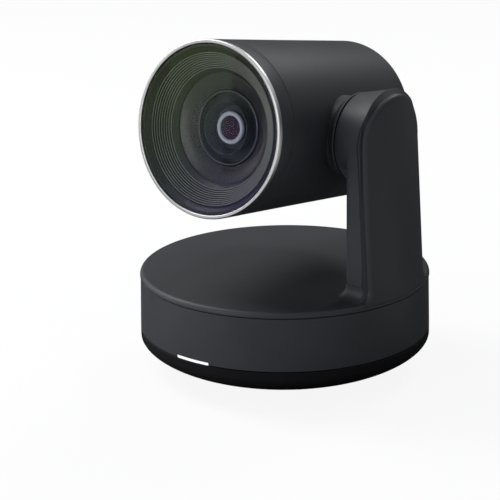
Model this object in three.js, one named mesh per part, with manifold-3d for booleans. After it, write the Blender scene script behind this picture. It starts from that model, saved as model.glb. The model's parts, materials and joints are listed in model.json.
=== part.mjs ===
// Motorised pan and tilt conference camera: a round base, a turntable with one side arm, and a
// barrel-shaped head that tilts on the arm. Millimetres, +Z up, the lens looks along -Y, the arm
// stands on +X. The origin is the centre of the foot on the table.
import * as THREE from 'three';
import { mergeVertices } from 'three/addons/utils/BufferGeometryUtils.js';
import Module from 'manifold-3d';

const wasm = await Module();
wasm.setup();

// Walls, clearances and the overrun that every cut shares
const wall = 2.2;
const fitGap = 0.3;
const runningGap = 0.5;
const seamGap = 0.4;
const overrun = 5;

// The head, and the pitch of its lens in the photographed pose
const headRadius = 43.8;
const headOffset = -2;
const headFront = 61;
const headRear = 62;
const headTaper = 2.8;
const headRearEdge = 5.3;
const collarProud = 0.3;
const collarWidth = 12.5;
const tiltAtRestDegrees = 8.5;
const headLength = headFront + headRear;
const headRearRadius = headRadius - headTaper;
const collarRadius = headRadius + collarProud;

// Across, from the head out: the hub of the arm, its web, its seam and the round wall outside
const hubStand = 5.2;
const webStand = 7;
const outerCoverDepth = 7.7;
const armTopMargin = 0.6;
const armLeanIn = 5.5;
const kneeInset = 0.9;
const armFootInset = 0.2;
const discProud = 0.3;
const wallTaper = 0.6;
const tiltGearStand = 0.6;
const tiltGearFace = 3.2;
const uprightThickness = 2;
const tiltMotorLength = 5.6;
const hubX = headOffset + headRadius + hubStand;
const webX = hubX + webStand;
const tiltGearLow = webX + wall + tiltGearStand;
const tiltGearHigh = tiltGearLow + tiltGearFace;
const uprightX = tiltGearHigh + tiltGearStand;
const tiltMotorX = uprightX + uprightThickness + fitGap;
const armTopRadius = tiltMotorX + tiltMotorLength + armTopMargin;
const kneeRadius = armTopRadius + armLeanIn;
const armSeamX = kneeRadius - outerCoverDepth;
const armFootRadius = kneeRadius + kneeInset;
const discRadius = armFootRadius + armFootInset;
const baseTopRadius = discRadius - discProud;
const baseRadius = baseTopRadius + wallTaper;

// Upward, from the table: the bowl, the ports, the deck, the gears, the disc and the tilt axis
const bowlHeight = 17.4;
const bowlRim = 4.3;
const bowlFootRadius = 22.6;
const bowlPowerShare = 1.74;
const portRise = 2.3;
const portHeight = 18;
const portCentreRise = 6.5;
const jackSize = { width: 9, height: 9, depth: 13 };
const deckThickness = 2.5;
const gearStand = 3.5;
const gearFace = 5.6;
const frameStand = 0.9;
const frameThickness = 2.4;
const discDepth = 3.2;
const discEdgeRadius = 2.3;
const axisStand = 76.4;
const flareRadius = 6;
const kneeRoom = 1.6;
const lowerSeamHeight = bowlHeight + bowlRim;
const portLow = lowerSeamHeight + portRise;
const portHigh = portLow + portHeight;
const portCentreHeight = portLow + portCentreRise;
const deckLow = portCentreHeight + jackSize.height / 2;
const deckHigh = deckLow + deckThickness;
const gearLow = deckHigh + gearStand;
const gearHigh = gearLow + gearFace;
const frameLow = gearHigh + frameStand;
const frameHigh = frameLow + frameThickness;
const discUnder = frameHigh + fitGap;
const discTopHeight = discUnder + wall;
const panSeamHeight = discTopHeight - discDepth;
const kneeHeight = discTopHeight + flareRadius + kneeRoom;
const tiltAxisHeight = discTopHeight + axisStand;

// How finely the round forms are cut
const rimSides = 40;
const shellSides = 40;
const largeSides = 32;
const middleSides = 14;
const smallSides = 12;
const tinySides = 8;
const fullTurn = 2 * Math.PI;

// Gears
const gearModule = 1.25;
const panTeeth = 40;
const pinionTeeth = 10;
const tiltTeeth = 26;
const pressureAngle = THREE.MathUtils.degToRad(20);

// Colours of the mouldings and the parts inside
const finishes = {
  charcoal: { color: 0x2e3034, roughness: 0.55, metalness: 0 },
  black: { color: 0x141518, roughness: 0.45, metalness: 0 },
  satinBlack: { color: 0x1c1c20, roughness: 0.35, metalness: 0 },
  rubber: { color: 0x1a1a1a, roughness: 0.9, metalness: 0 },
  silver: { color: 0xd4d6da, roughness: 0.25, metalness: 1 },
  steel: { color: 0x9a9da2, roughness: 0.35, metalness: 1 },
  aluminium: { color: 0xb9bcc0, roughness: 0.45, metalness: 1 },
  brass: { color: 0xb59a55, roughness: 0.35, metalness: 1 },
  glass: { color: 0x20304a, roughness: 0.02, metalness: 0 },
  clear: { color: 0xc8d4d8, roughness: 0.02, metalness: 0 },
  board: { color: 0x1d5a3a, roughness: 0.6, metalness: 0 },
  nylon: { color: 0xe6e4dc, roughness: 0.5, metalness: 0 },
  lamp: { color: 0xf4f6f8, roughness: 0.3, metalness: 0 },
  copper: { color: 0xb0693a, roughness: 0.4, metalness: 1 },
};
const materials = {};
for (const [name, finish] of Object.entries(finishes)) {
  materials[name] = new THREE.MeshStandardMaterial(finish);
}

// Solids: joined and cut forms come back as plain geometry
function toSolid(geometry) {
  let plain = geometry.clone();
  plain.deleteAttribute('normal');
  plain.deleteAttribute('uv');
  plain = mergeVertices(plain);
  const vertProperties = new Float32Array(plain.attributes.position.array);
  const triVerts = new Uint32Array(plain.index.array);
  return new wasm.Manifold(new wasm.Mesh({ numProp: 3, vertProperties, triVerts }));
}

function toGeometry(solid) {
  const mesh = solid.getMesh();
  const geometry = new THREE.BufferGeometry();
  geometry.setAttribute('position', new THREE.BufferAttribute(mesh.vertProperties, 3));
  geometry.setIndex(new THREE.BufferAttribute(mesh.triVerts, 1));
  geometry.computeVertexNormals();
  return geometry;
}

function join(first, ...others) {
  return toGeometry(others.reduce((sum, other) => sum.add(toSolid(other)), toSolid(first)));
}

function cut(first, ...others) {
  return toGeometry(others.reduce((rest, other) => rest.subtract(toSolid(other)), toSolid(first)));
}

function meet(first, ...others) {
  return toGeometry(others.reduce((rest, other) => rest.intersect(toSolid(other)), toSolid(first)));
}

// A revolved solid about Z from a closed outline of [radius, height] points, or, with both ends
// on the axis, from an open one
function turned(outline, sides) {
  const points = outline.map(([radius, height]) => new THREE.Vector2(radius, height));
  const onAxis = outline[0][0] === 0 && outline.at(-1)[0] === 0;
  if (!onAxis) points.push(points[0].clone());
  const area = outline.reduce((sum, [r, z], i) => {
    const [nextR, nextZ] = outline[(i + 1) % outline.length];
    return sum + r * nextZ - nextR * z;
  }, 0);
  if (area < 0) points.reverse();
  return new THREE.LatheGeometry(points, sides).rotateX(Math.PI / 2);
}

function disc(radius, low, high, sides = smallSides) {
  return turned([[0, low], [radius, low], [radius, high], [0, high]], sides);
}

function ring(inner, outer, low, high, sides = smallSides) {
  return turned([[inner, low], [outer, low], [outer, high], [inner, high]], sides);
}

// A ring with all four edges broken by a chamfer
function softRing(inner, outer, low, high, chamfer, sides) {
  return turned([
    [inner + chamfer, low], [outer - chamfer, low], [outer, low + chamfer], [outer, high - chamfer],
    [outer - chamfer, high], [inner + chamfer, high], [inner, high - chamfer], [inner, low + chamfer],
  ], sides);
}

function block(lowX, highX, lowY, highY, lowZ, highZ) {
  return new THREE.BoxGeometry(highX - lowX, highY - lowY, highZ - lowZ)
    .translate((lowX + highX) / 2, (lowY + highY) / 2, (lowZ + highZ) / 2);
}

// An upright slab with rounded corners, drawn in X and Y
function roundedSlab(lowX, highX, lowY, highY, lowZ, highZ, radius, steps = 2) {
  const shape = new THREE.Shape();
  shape.absarc(highX - radius, highY - radius, radius, 0, Math.PI / 2);
  shape.absarc(lowX + radius, highY - radius, radius, Math.PI / 2, Math.PI);
  shape.absarc(lowX + radius, lowY + radius, radius, Math.PI, 1.5 * Math.PI);
  shape.absarc(highX - radius, lowY + radius, radius, 1.5 * Math.PI, fullTurn);
  const options = { depth: highZ - lowZ, bevelEnabled: false, curveSegments: steps };
  return new THREE.ExtrudeGeometry(shape, options).translate(0, 0, lowZ);
}

// The same slab drawn in X and Z and running along Y
function rearSlab(lowX, highX, lowY, highY, lowZ, highZ, radius, steps) {
  return roundedSlab(lowX, highX, -highZ, -lowZ, lowY, highY, radius, steps).rotateX(-Math.PI / 2);
}

// A solid through rings of points, each ring in its own plane and with as many points
function loft(rings) {
  const count = rings[0].length;
  const positions = rings.flat(2);
  const index = [];
  for (let level = 0; level < rings.length - 1; level += 1) {
    for (let i = 0; i < count; i += 1) {
      const here = level * count + i;
      const next = level * count + (i + 1) % count;
      index.push(here, next, next + count, here, next + count, here + count);
    }
  }
  const last = (rings.length - 1) * count;
  for (let i = 1; i < count - 1; i += 1) {
    index.push(0, i + 1, i, last, last + i, last + i + 1);
  }
  const geometry = new THREE.BufferGeometry();
  geometry.setAttribute('position', new THREE.Float32BufferAttribute(positions, 3));
  geometry.setIndex(index);
  return geometry;
}

// Turns a solid drawn along Z so that it lies along X or Y
const alongX = (geometry) => geometry.rotateY(Math.PI / 2);
const alongY = (geometry) => geometry.rotateX(-Math.PI / 2);

function arcPoints(centreR, centreZ, radius, from, to, steps) {
  return Array.from({ length: steps + 1 }, (_, i) => {
    const angle = THREE.MathUtils.degToRad(from + ((to - from) * i) / steps);
    return [centreR + radius * Math.cos(angle), centreZ + radius * Math.sin(angle)];
  });
}

function around(count, radius, startDegrees, make) {
  return Array.from({ length: count }, (_, i) => {
    const angle = THREE.MathUtils.degToRad(startDegrees) + (fullTurn * i) / count;
    return make(radius * Math.cos(angle), radius * Math.sin(angle), angle);
  });
}

function mesh(name, geometry, finish) {
  const made = new THREE.Mesh(geometry, materials[finish]);
  made.name = name;
  return made;
}

// Spur gear with involute flanks. A gear is drawn with a tooth on +X, then turned by its phase.
function gear(teeth, bore, low, high, phase = 0) {
  const pitch = (gearModule * teeth) / 2;
  const base = pitch * Math.cos(pressureAngle);
  const tipShare = 0.9;
  const rootShare = 1.15;
  const tip = pitch + tipShare * gearModule;
  const root = pitch - rootShare * gearModule;
  const backlashShare = 0.94;
  const halfTooth = (Math.PI / (2 * teeth)) * backlashShare;
  const involute = (radius) => {
    const roll = Math.sqrt(Math.max((radius / base) ** 2 - 1, 0));
    return roll - Math.atan(roll);
  };
  const flank = [Math.max(base, root), pitch, tip].map((radius) => {
    return [radius, halfTooth + involute(pitch) - involute(radius)];
  });
  const shape = new THREE.Shape();
  const points = [];
  for (let tooth = 0; tooth < teeth; tooth += 1) {
    const middle = (fullTurn * tooth) / teeth + phase;
    points.push([root, middle - flank[0][1]]);
    for (const [radius, half] of flank) points.push([radius, middle - half]);
    for (const [radius, half] of flank.toReversed()) points.push([radius, middle + half]);
    points.push([root, middle + flank[0][1]]);
  }
  const distinct = points.filter(([radius, angle], i) => {
    const [lastRadius, lastAngle] = points.at(i - 1);
    return Math.abs(radius - lastRadius) > 1e-6 * pitch || Math.abs(angle - lastAngle) > 1e-6;
  });
  shape.setFromPoints(distinct.map(([radius, angle]) => {
    return new THREE.Vector2(radius * Math.cos(angle), radius * Math.sin(angle));
  }));
  const hole = new THREE.Path();
  hole.absarc(0, 0, bore, 0, fullTurn, true);
  shape.holes.push(hole);
  const options = { depth: high - low, bevelEnabled: false, curveSegments: tinySides };
  return new THREE.ExtrudeGeometry(shape, options).translate(0, 0, low);
}

const part = new THREE.Group();

// Base: the foot, the bowl and what stands in it
const footInner = 33;
const footWidth = 8;
const footEdge = 0.6;
const footDepth = 1.4;
const footProud = 1.6;
const bowlFloor = 2.6;
const footOuter = footInner + footWidth;
const postRadius = 4;
const postMargin = 5;
const postPlace = footOuter + postMargin;
const postAngle = 45;
const screwRadius = 1.5;
const screwHeadRadius = 2.8;
const screwHeadHeight = 2;
const insertBore = 2.6;
const insertRadius = 5.5;
const insertFlange = 8;
const insertFlangeThickness = 1.2;
const insertHeight = 9;
const boardHeight = 10;
const boardThickness = 1.6;
const boardGap = 6.9;
const boardRadius = bowlRadiusAt(boardHeight - wall) - wall - boardGap;

// The bowl is a part of a superellipse, given by its angle or by a height over the table
function bowlRadiusAt(height) {
  const down = (1 - height / bowlHeight) ** bowlPowerShare;
  return bowlFootRadius + (baseRadius - bowlFootRadius) * (1 - down) ** (1 / bowlPowerShare);
}

function bowlPoint(angle) {
  const spread = baseRadius - bowlFootRadius;
  const across = Math.cos(angle) ** (2 / bowlPowerShare);
  const down = Math.sin(angle) ** (2 / bowlPowerShare);
  return [bowlFootRadius + spread * across, bowlHeight * (1 - down)];
}

function bottomShell() {
  const steps = 6;
  const curve = Array.from({ length: steps + 1 }, (_, i) => {
    return bowlPoint((Math.PI / 2) * (i / steps));
  }).filter(([radius, height]) => radius > footOuter + seamGap && height > footProud).reverse();
  const rimLow = lowerSeamHeight - seamGap;
  const inner = curve.filter((_, i) => i % 3 === 0).map(([radius, height]) => {
    return [radius - wall, height + wall];
  }).reverse();
  const outline = [
    [0, footProud], [footOuter + seamGap, footProud], ...curve, [baseRadius, rimLow],
    [baseRadius - wall, rimLow], ...inner, [footOuter, footProud + bowlFloor], [0, footProud + bowlFloor],
  ];
  const bowl = turned(outline, shellSides);
  const floor = footProud + bowlFloor - overrun / 10;
  const within = turned([
    [0, footProud], [footOuter + seamGap, footProud], ...curve, [baseRadius, rimLow],
    [baseRadius, deckLow], [0, deckLow],
  ], shellSides);
  const posts = around(4, postPlace, postAngle, (x, y) => meet(join(
    disc(postRadius, floor, deckLow - fitGap, tinySides),
    disc(postRadius + wall, floor, boardHeight - fitGap, tinySides),
  ).translate(x, y, 0), within));
  const boss = disc(insertRadius + wall, floor, footProud + insertHeight + wall, smallSides);
  const groove = ring(footInner - fitGap, footOuter + fitGap, -overrun, footProud + footDepth, shellSides);
  const insertHole = disc(insertRadius + fitGap, -overrun, footProud + insertHeight + fitGap);
  const flangeHole = disc(
    insertFlange + fitGap, -overrun, footProud + insertFlangeThickness + fitGap,
  );
  const bores = around(4, postPlace, postAngle, (x, y) => join(
    disc(screwRadius + fitGap, -overrun, deckLow + overrun, tinySides),
    disc(screwHeadRadius + fitGap, -overrun, footProud + screwHeadHeight + fitGap, tinySides),
  ).translate(x, y, 0));
  return cut(join(bowl, boss, ...posts), groove, insertHole, flangeHole, ...bores);
}

function footRing() {
  return turned([
    [footInner + footEdge, 0], [footOuter - footEdge, 0], [footOuter, footEdge],
    [footOuter, footProud + footDepth - fitGap], [footInner, footProud + footDepth - fitGap],
    [footInner, footEdge],
  ], shellSides);
}

function tripodInsert() {
  const low = footProud;
  return turned([
    [insertBore, low], [insertFlange, low], [insertFlange, low + insertFlangeThickness],
    [insertRadius, low + insertFlangeThickness], [insertRadius, low + insertHeight],
    [insertBore, low + insertHeight],
  ], smallSides);
}

function screw(length) {
  return turned([
    [0, 0], [screwHeadRadius, 0], [screwHeadRadius, screwHeadHeight],
    [screwRadius, screwHeadHeight], [screwRadius, length], [0, length],
  ], tinySides);
}

const baseScrewLength = 14;
const baseScrews = around(4, postPlace, postAngle, (x, y) => {
  return screw(baseScrewLength).translate(x, y, footProud);
});

// The wall of the base, with the slot of the status light at its lower edge and the ports behind
const lightCentre = -2;
const lightWidth = 20;
const lightHeight = 1.2;
const lightBoardHeight = 12;
const lightBoardThickness = 1;
const portWidth = 68;
const portDepth = 12;
const portCorner = 3;
const shellLip = 1.5;
const lightReach = lightWidth / 2 + Math.abs(lightCentre);
const wallFlat = (baseRadius - wall) * Math.cos(Math.PI / shellSides);
const lightBoardFace = -Math.sqrt((wallFlat - seamGap) ** 2 - lightReach ** 2);

function baseShell() {
  const low = lowerSeamHeight;
  const high = panSeamHeight - seamGap / 2;
  const inner = baseTopRadius - wall - shellLip;
  const shell = turned([
    [baseRadius - wall, low], [baseRadius, low], [baseTopRadius, high],
    [inner, high], [inner, high - shellLip], [baseTopRadius - wall, high - 2 * shellLip],
  ], shellSides);
  const slot = block(
    lightCentre - lightWidth / 2 - fitGap, lightCentre + lightWidth / 2 + fitGap,
    -baseRadius - overrun, -baseRadius + 2 * overrun, low - overrun, low + lightHeight + fitGap,
  );
  const window = rearSlab(
    -portWidth / 2 - fitGap, portWidth / 2 + fitGap, overrun, baseRadius + overrun,
    portLow - fitGap, portHigh + fitGap, portCorner + fitGap,
  );
  return cut(shell, slot, window);
}

function statusLight() {
  const bar = block(
    lightCentre - lightWidth / 2, lightCentre + lightWidth / 2,
    -baseRadius - overrun, lightBoardFace - fitGap, lowerSeamHeight, lowerSeamHeight + lightHeight,
  );
  const face = disc(baseRadius - seamGap / 2, 0, baseRadius, shellSides);
  return meet(bar, face);
}

function statusLightBoard() {
  const belowShare = 1 / 12;
  const low = lowerSeamHeight - lightBoardHeight * belowShare;
  return block(
    lightCentre - lightWidth / 2, lightCentre + lightWidth / 2,
    lightBoardFace, lightBoardFace + lightBoardThickness,
    low, low + lightBoardHeight,
  );
}

// The recess of the ports at the back, and what opens into it
const panelThickness = 1.6;
const panelFace = baseRadius - portDepth;
const jackPlace = -25;
const usbPlace = -11;
const hdmiPlace = 6;
const buttonPlace = 20;
const lockPlace = 28.5;
const jackBore = 3.1;
const jackPin = 1;
const usbSize = { width: 9, height: 3.3, depth: 8 };
const hdmiSize = { width: 15, height: 5.6, depth: 11 };
const lockSize = { width: 7, height: 3.2, depth: 1.5 };
const buttonRadius = 2.4;
const buttonProud = 1;
const buttonLength = 4;
const socketWall = 0.5;
const socketDepth = 6.5;
const socketCornerShare = 0.45;
const hdmiCorner = 1;
const switchTravel = 0.7;
const switchHalf = 3;
const switchStem = 1.2;
const switchRoom = 0.1;
const lockPlateHalf = 4.2;
const portBoardDepth = 16;

function portHole(place, width, height, corner) {
  return rearSlab(
    place - width / 2 - fitGap, place + width / 2 + fitGap,
    panelFace - panelThickness - overrun, panelFace + overrun,
    portCentreHeight - height / 2 - fitGap, portCentreHeight + height / 2 + fitGap, corner,
  );
}

function connectorPanel() {
  const back = panelFace - panelThickness;
  const tub = rearSlab(
    -portWidth / 2, portWidth / 2, back, baseRadius + overrun, portLow, portHigh, portCorner,
  );
  const hollow = rearSlab(
    -portWidth / 2 + panelThickness, portWidth / 2 - panelThickness, panelFace, baseRadius + 2 * overrun,
    portLow + panelThickness, portHigh - panelThickness, portCorner - panelThickness,
  );
  const skin = disc(baseTopRadius - seamGap / 2, 0, baseRadius, shellSides);
  const round = disc(buttonRadius + fitGap, panelFace - overrun, panelFace + overrun);
  return cut(
    meet(tub, skin), hollow,
    portHole(jackPlace, jackSize.width, jackSize.height, socketWall),
    portHole(usbPlace, usbSize.width, usbSize.height, usbSize.height / 2),
    portHole(hdmiPlace, hdmiSize.width, hdmiSize.height, socketWall),
    portHole(lockPlace, lockSize.width, lockSize.height, socketWall),
    alongY(round).translate(buttonPlace, 0, portCentreHeight),
  );
}

function socket(place, size, corner) {
  const shell = rearSlab(
    place - size.width / 2, place + size.width / 2, panelFace - size.depth, panelFace,
    portCentreHeight - size.height / 2, portCentreHeight + size.height / 2, corner,
  );
  const mouth = rearSlab(
    place - size.width / 2 + socketWall, place + size.width / 2 - socketWall,
    panelFace - socketDepth, panelFace + overrun,
    portCentreHeight - size.height / 2 + socketWall, portCentreHeight + size.height / 2 - socketWall,
    Math.max(corner - socketWall, socketWall),
  );
  const tongueHalf = socketWall / 2;
  const tongue = block(
    place - size.width / 3, place + size.width / 3,
    panelFace - socketDepth - wall, panelFace - 2 * socketWall,
    portCentreHeight - tongueHalf, portCentreHeight + tongueHalf,
  );
  return join(cut(shell, mouth), tongue);
}

function powerJack() {
  const body = block(
    jackPlace - jackSize.width / 2, jackPlace + jackSize.width / 2, panelFace - jackSize.depth, panelFace,
    portCentreHeight - jackSize.height / 2, portCentreHeight + jackSize.height / 2,
  );
  const bore = disc(jackBore, panelFace - socketDepth - wall, panelFace + overrun, smallSides);
  const pin = disc(jackPin, panelFace - socketDepth - 2 * wall, panelFace - wall, tinySides);
  const here = (geometry) => alongY(geometry).translate(jackPlace, 0, portCentreHeight);
  return join(cut(body, here(bore)), here(pin));
}

function pairingButton() {
  const rear = panelFace + buttonProud;
  const cap = disc(buttonRadius, rear - buttonLength, rear, smallSides);
  const flangeHigh = panelFace - panelThickness - fitGap;
  const flange = disc(buttonRadius + fitGap + socketWall, rear - buttonLength, flangeHigh, smallSides);
  return alongY(join(cap, flange)).translate(buttonPlace, 0, portCentreHeight);
}

// The switch stands behind the button by the button's travel and a little room
function pairingSwitch() {
  const tip = panelFace + buttonProud - buttonLength - switchTravel - switchRoom;
  const face = tip - switchTravel;
  const stem = disc(switchStem, face - switchStem, tip, tinySides);
  const body = block(
    buttonPlace - switchHalf, buttonPlace + switchHalf, face - switchHalf, face,
    portCentreHeight - switchHalf, portCentreHeight + switchHalf,
  );
  return join(body, alongY(stem).translate(buttonPlace, 0, portCentreHeight));
}

function lockPlate() {
  const high = panelFace - panelThickness - fitGap;
  const plate = block(
    lockPlace - lockPlateHalf, lockPlace + lockPlateHalf, high - lockSize.depth, high,
    portCentreHeight - lockPlateHalf, portCentreHeight + lockPlateHalf,
  );
  const slot = rearSlab(
    lockPlace - lockSize.width / 2, lockPlace + lockSize.width / 2, high - overrun, high + overrun,
    portCentreHeight - lockSize.height / 2, portCentreHeight + lockSize.height / 2, socketWall,
  );
  return cut(plate, slot);
}

function portBoard() {
  const high = portCentreHeight - jackSize.height / 2 - fitGap;
  const rear = panelFace - panelThickness - fitGap;
  return block(
    -portWidth / 2 + wall, portWidth / 2 - wall, rear - portBoardDepth, rear, high - boardThickness, high,
  );
}

// Sockets lower than the jack stand on plinths down to their board
function plinth(place, size) {
  return block(
    place - size.width / 2, place + size.width / 2,
    panelFace - size.depth, panelFace - panelThickness - fitGap,
    portCentreHeight - jackSize.height / 2, portCentreHeight - size.height / 2 + socketWall / 2,
  );
}

function usbReceptacle() {
  return join(socket(usbPlace, usbSize, usbSize.height * socketCornerShare), plinth(usbPlace, usbSize));
}

function hdmiReceptacle() {
  return join(socket(hdmiPlace, hdmiSize, hdmiCorner), plinth(hdmiPlace, hdmiSize));
}

function mainBoard() {
  const plate = disc(boardRadius, boardHeight, boardHeight + boardThickness, middleSides);
  const middle = disc(insertRadius + 2 * wall, 0, boardHeight + overrun);
  const corners = around(4, postPlace, postAngle, (x, y) => {
    return disc(postRadius + fitGap, 0, boardHeight + overrun, tinySides).translate(x, y, 0);
  });
  return cut(plate, middle, ...corners);
}

const sinkHalf = 12;
const sinkFins = 6;
const sinkFoot = 2;
const sinkHeight = 9;
const sinkMargin = 11;

function processorSink() {
  const low = boardHeight + boardThickness + fitGap;
  const pitch = (2 * sinkHalf) / sinkFins;
  const left = -boardRadius + sinkMargin;
  const plates = Array.from({ length: sinkFins }, (_, i) => {
    const x = left + pitch * i;
    return block(x, x + pitch / 2, -sinkHalf, sinkHalf, low + sinkFoot / 2, low + sinkHeight);
  });
  return join(block(left, left + 2 * sinkHalf, -sinkHalf, sinkHalf, low, low + sinkFoot), ...plates);
}

// The deck that carries the pan bearing and its motor
const deckGap = 5.2;
const deckRadius = baseTopRadius - wall - deckGap;
const spindleBore = 8;
const spindleRadius = 11.2;
const bushRadius = 14.5;
const bushFlange = 17;
const bushFlangeThickness = 1.5;
const panDistance = (gearModule * (panTeeth + pinionTeeth)) / 2;
const motorGap = 2.75;
const motorRadius = panDistance - bushRadius - motorGap;
const motorHeight = 14;
const motorPilot = 4;
const motorShaft = 1.8;
const motorChamfer = 1;
const pinionBoreShare = 0.9;
const deckWindow = 8.8;

function deck() {
  const plate = disc(deckRadius, deckLow, deckHigh, largeSides);
  const bearing = disc(bushRadius + fitGap, 0, deckHigh + overrun, middleSides);
  const pilot = disc(motorPilot + fitGap, 0, deckHigh + overrun).translate(0, -panDistance, 0);
  const screws = around(4, postPlace, postAngle, (x, y) => {
    return disc(screwRadius + fitGap, 0, deckHigh + overrun, tinySides).translate(x, y, 0);
  });
  const ports = block(
    -portWidth / 2 - wall, portWidth / 2 + wall, panelFace - panelThickness - 2 * fitGap,
    baseRadius + overrun, 0, deckHigh + overrun,
  );
  const windows = around(2, postPlace, 0, (x, y) => {
    return disc(deckWindow, 0, deckHigh + overrun).translate(x, y, 0);
  });
  return cut(plate, bearing, pilot, ports, ...screws, ...windows);
}

function panBush() {
  return turned([
    [spindleRadius + fitGap, deckLow], [bushRadius, deckLow], [bushRadius, deckHigh + fitGap],
    [bushFlange, deckHigh + fitGap], [bushFlange, deckHigh + fitGap + bushFlangeThickness],
    [spindleRadius + fitGap, deckHigh + fitGap + bushFlangeThickness],
  ], middleSides);
}

function panMotor() {
  const high = deckLow - fitGap;
  const can = turned([
    [0, high - motorHeight], [motorRadius - motorChamfer, high - motorHeight],
    [motorRadius, high - motorHeight + motorChamfer], [motorRadius, high], [motorPilot, high],
    [motorPilot, deckHigh], [motorShaft + fitGap, deckHigh],
    [motorShaft + fitGap, high - motorHeight + wall], [0, high - motorHeight + wall],
  ], middleSides);
  return can.translate(0, -panDistance, 0);
}

function panPinion() {
  const low = deckLow - motorHeight + wall;
  const shaft = disc(motorShaft, low, gearHigh, tinySides);
  const phase = Math.PI / 2 + Math.PI / pinionTeeth;
  return join(shaft, gear(pinionTeeth, motorShaft * pinionBoreShare, gearLow, gearHigh, phase))
    .translate(0, -panDistance, 0);
}

// Turntable: the disc and the outer face of the arm are one moulding, the inner cover with its
// hub closes the arm, and a metal frame inside carries the tilt shaft and its motor
const hubRadius = 22.4;
const hubSpread = 4.2;
const faceInset = 2.5;
const armTopRoom = 0.6;
const armBevel = 2;
const armSeamLeanShare = 0.0286;
const webCorner = 4;
const hubEdge = 0.6;
const armSeamHalf = hubRadius + hubSpread;
const armFaceHalf = armSeamHalf - faceInset;
const armTopHeight = tiltAxisHeight + armSeamHalf + armTopRoom;
const innerCoverLow = kneeHeight;
const archSteps = 12;
const shaftRadius = 5;
const shaftBore = 3.5;

const hubAt = (x) => hubRadius + ((armSeamHalf - hubRadius) * (x - hubX)) / (armSeamX - hubX);

function armOutside(inset) {
  return turned([
    [0, discUnder - overrun], [armFootRadius - inset, discUnder - overrun],
    [armFootRadius - inset, discTopHeight],
    [kneeRadius - inset, kneeHeight], [armTopRadius - inset, armTopHeight], [0, armTopHeight],
  ], rimSides);
}

// One arch across the arm: straight sides up to the tilt axis and a half circle over it
function arch(x, half, low, lean = 0) {
  const at = (y, z) => [x - lean * (z - kneeHeight), y, z];
  const over = Array.from({ length: archSteps + 1 }, (_, i) => {
    const angle = (Math.PI * i) / archSteps;
    return at(half * Math.cos(angle), tiltAxisHeight + half * Math.sin(angle));
  });
  return [at(half, low), ...over, at(-half, low)];
}

// The web of the arm, from its inner plane with rounded corners out to the seam
function armWeb(inset, low) {
  const steps = 4;
  const corner = Array.from({ length: steps + 1 }, (_, i) => {
    const angle = (Math.PI / 2) * (i / steps);
    const x = webX + inset + webCorner * (1 - Math.cos(angle));
    return arch(x, hubAt(x) - inset - webCorner * (1 - Math.sin(angle)), low);
  });
  return loft([...corner, arch(armSeamX + overrun, armSeamHalf - inset, low)]);
}

function armHub(inset) {
  const low = hubX + inset;
  const high = armSeamX + overrun;
  const hub = turned([
    [0, low], [hubRadius - inset - hubEdge, low], [hubRadius - inset, low + hubEdge],
    [armSeamHalf - inset, armSeamX], [armSeamHalf - inset, high], [0, high],
  ], archSteps * 2);
  return alongX(hub).translate(0, 0, tiltAxisHeight);
}

// What lies on the head's side of the leaning seam, moved by an offset along X
function insideOfSeam(offset) {
  const wide = 2 * armSeamHalf;
  return loft([arch(0, wide, 0), arch(armSeamX + offset, wide, 0, armSeamLeanShare)]);
}

function armInnerCover() {
  const form = meet(join(armWeb(0, innerCoverLow), armHub(0)), insideOfSeam(-seamGap / 2));
  const hollow = join(armWeb(wall, innerCoverLow - overrun), armHub(wall));
  const open = alongX(disc(shaftRadius + runningGap + wall, 0, armSeamX, smallSides));
  const below = block(0, 2 * baseRadius, -baseRadius, baseRadius, 0, innerCoverLow);
  return cut(form, hollow, open.translate(0, 0, tiltAxisHeight), below);
}

function armOuterCover(inset) {
  const start = inset ? webX + inset : armSeamX + seamGap / 2;
  const bevelStart = armSeamX + seamGap / 2 + inset / 4;
  const low = inset ? discUnder - overrun : discTopHeight - wall / 2;
  const seam = arch(start, armSeamHalf - inset, low, armSeamLeanShare);
  const chamfer = arch(bevelStart + seamGap, armSeamHalf - inset - seamGap, low, armSeamLeanShare);
  const face = arch(bevelStart + armBevel, armFaceHalf - inset, low, armSeamLeanShare);
  const beyond = arch(baseRadius + overrun, armFaceHalf - inset, low, armSeamLeanShare);
  return loft([seam, chamfer, face, beyond]);
}

// The foot of the arm flares out into the disc
function armFoot() {
  const flareTop = discTopHeight + flareRadius;
  const levels = [discTopHeight - wall / 2, discTopHeight, discTopHeight + flareRadius / 7,
    discTopHeight + flareRadius / 3, discTopHeight + (2 * flareRadius) / 3, flareTop,
    innerCoverLow - seamGap];
  const cornerSteps = 4;
  const rings = levels.map((z) => {
    const rise = Math.min(Math.max(flareTop - z, 0), flareRadius);
    const flare = flareRadius - Math.sqrt(flareRadius ** 2 - rise ** 2);
    const innerHalf = hubAt(webX + webCorner) - webCorner;
    const corner = Array.from({ length: cornerSteps + 1 }, (_, i) => {
      const angle = (Math.PI / 2) * (i / cornerSteps);
      const radius = webCorner + flare;
      return [
        webX + webCorner - radius * Math.sin(angle), innerHalf + radius * Math.cos(angle), z,
      ];
    });
    const upper = [
      [baseRadius + overrun, armFaceHalf + flare, z], [armSeamX + armBevel, armFaceHalf + flare, z],
      [armSeamX, armSeamHalf + flare, z], ...corner,
    ];
    const lower = upper.map(([x, y, height]) => [x, -y, height]).reverse();
    return [...upper, ...lower];
  });
  return loft(rings);
}

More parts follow.
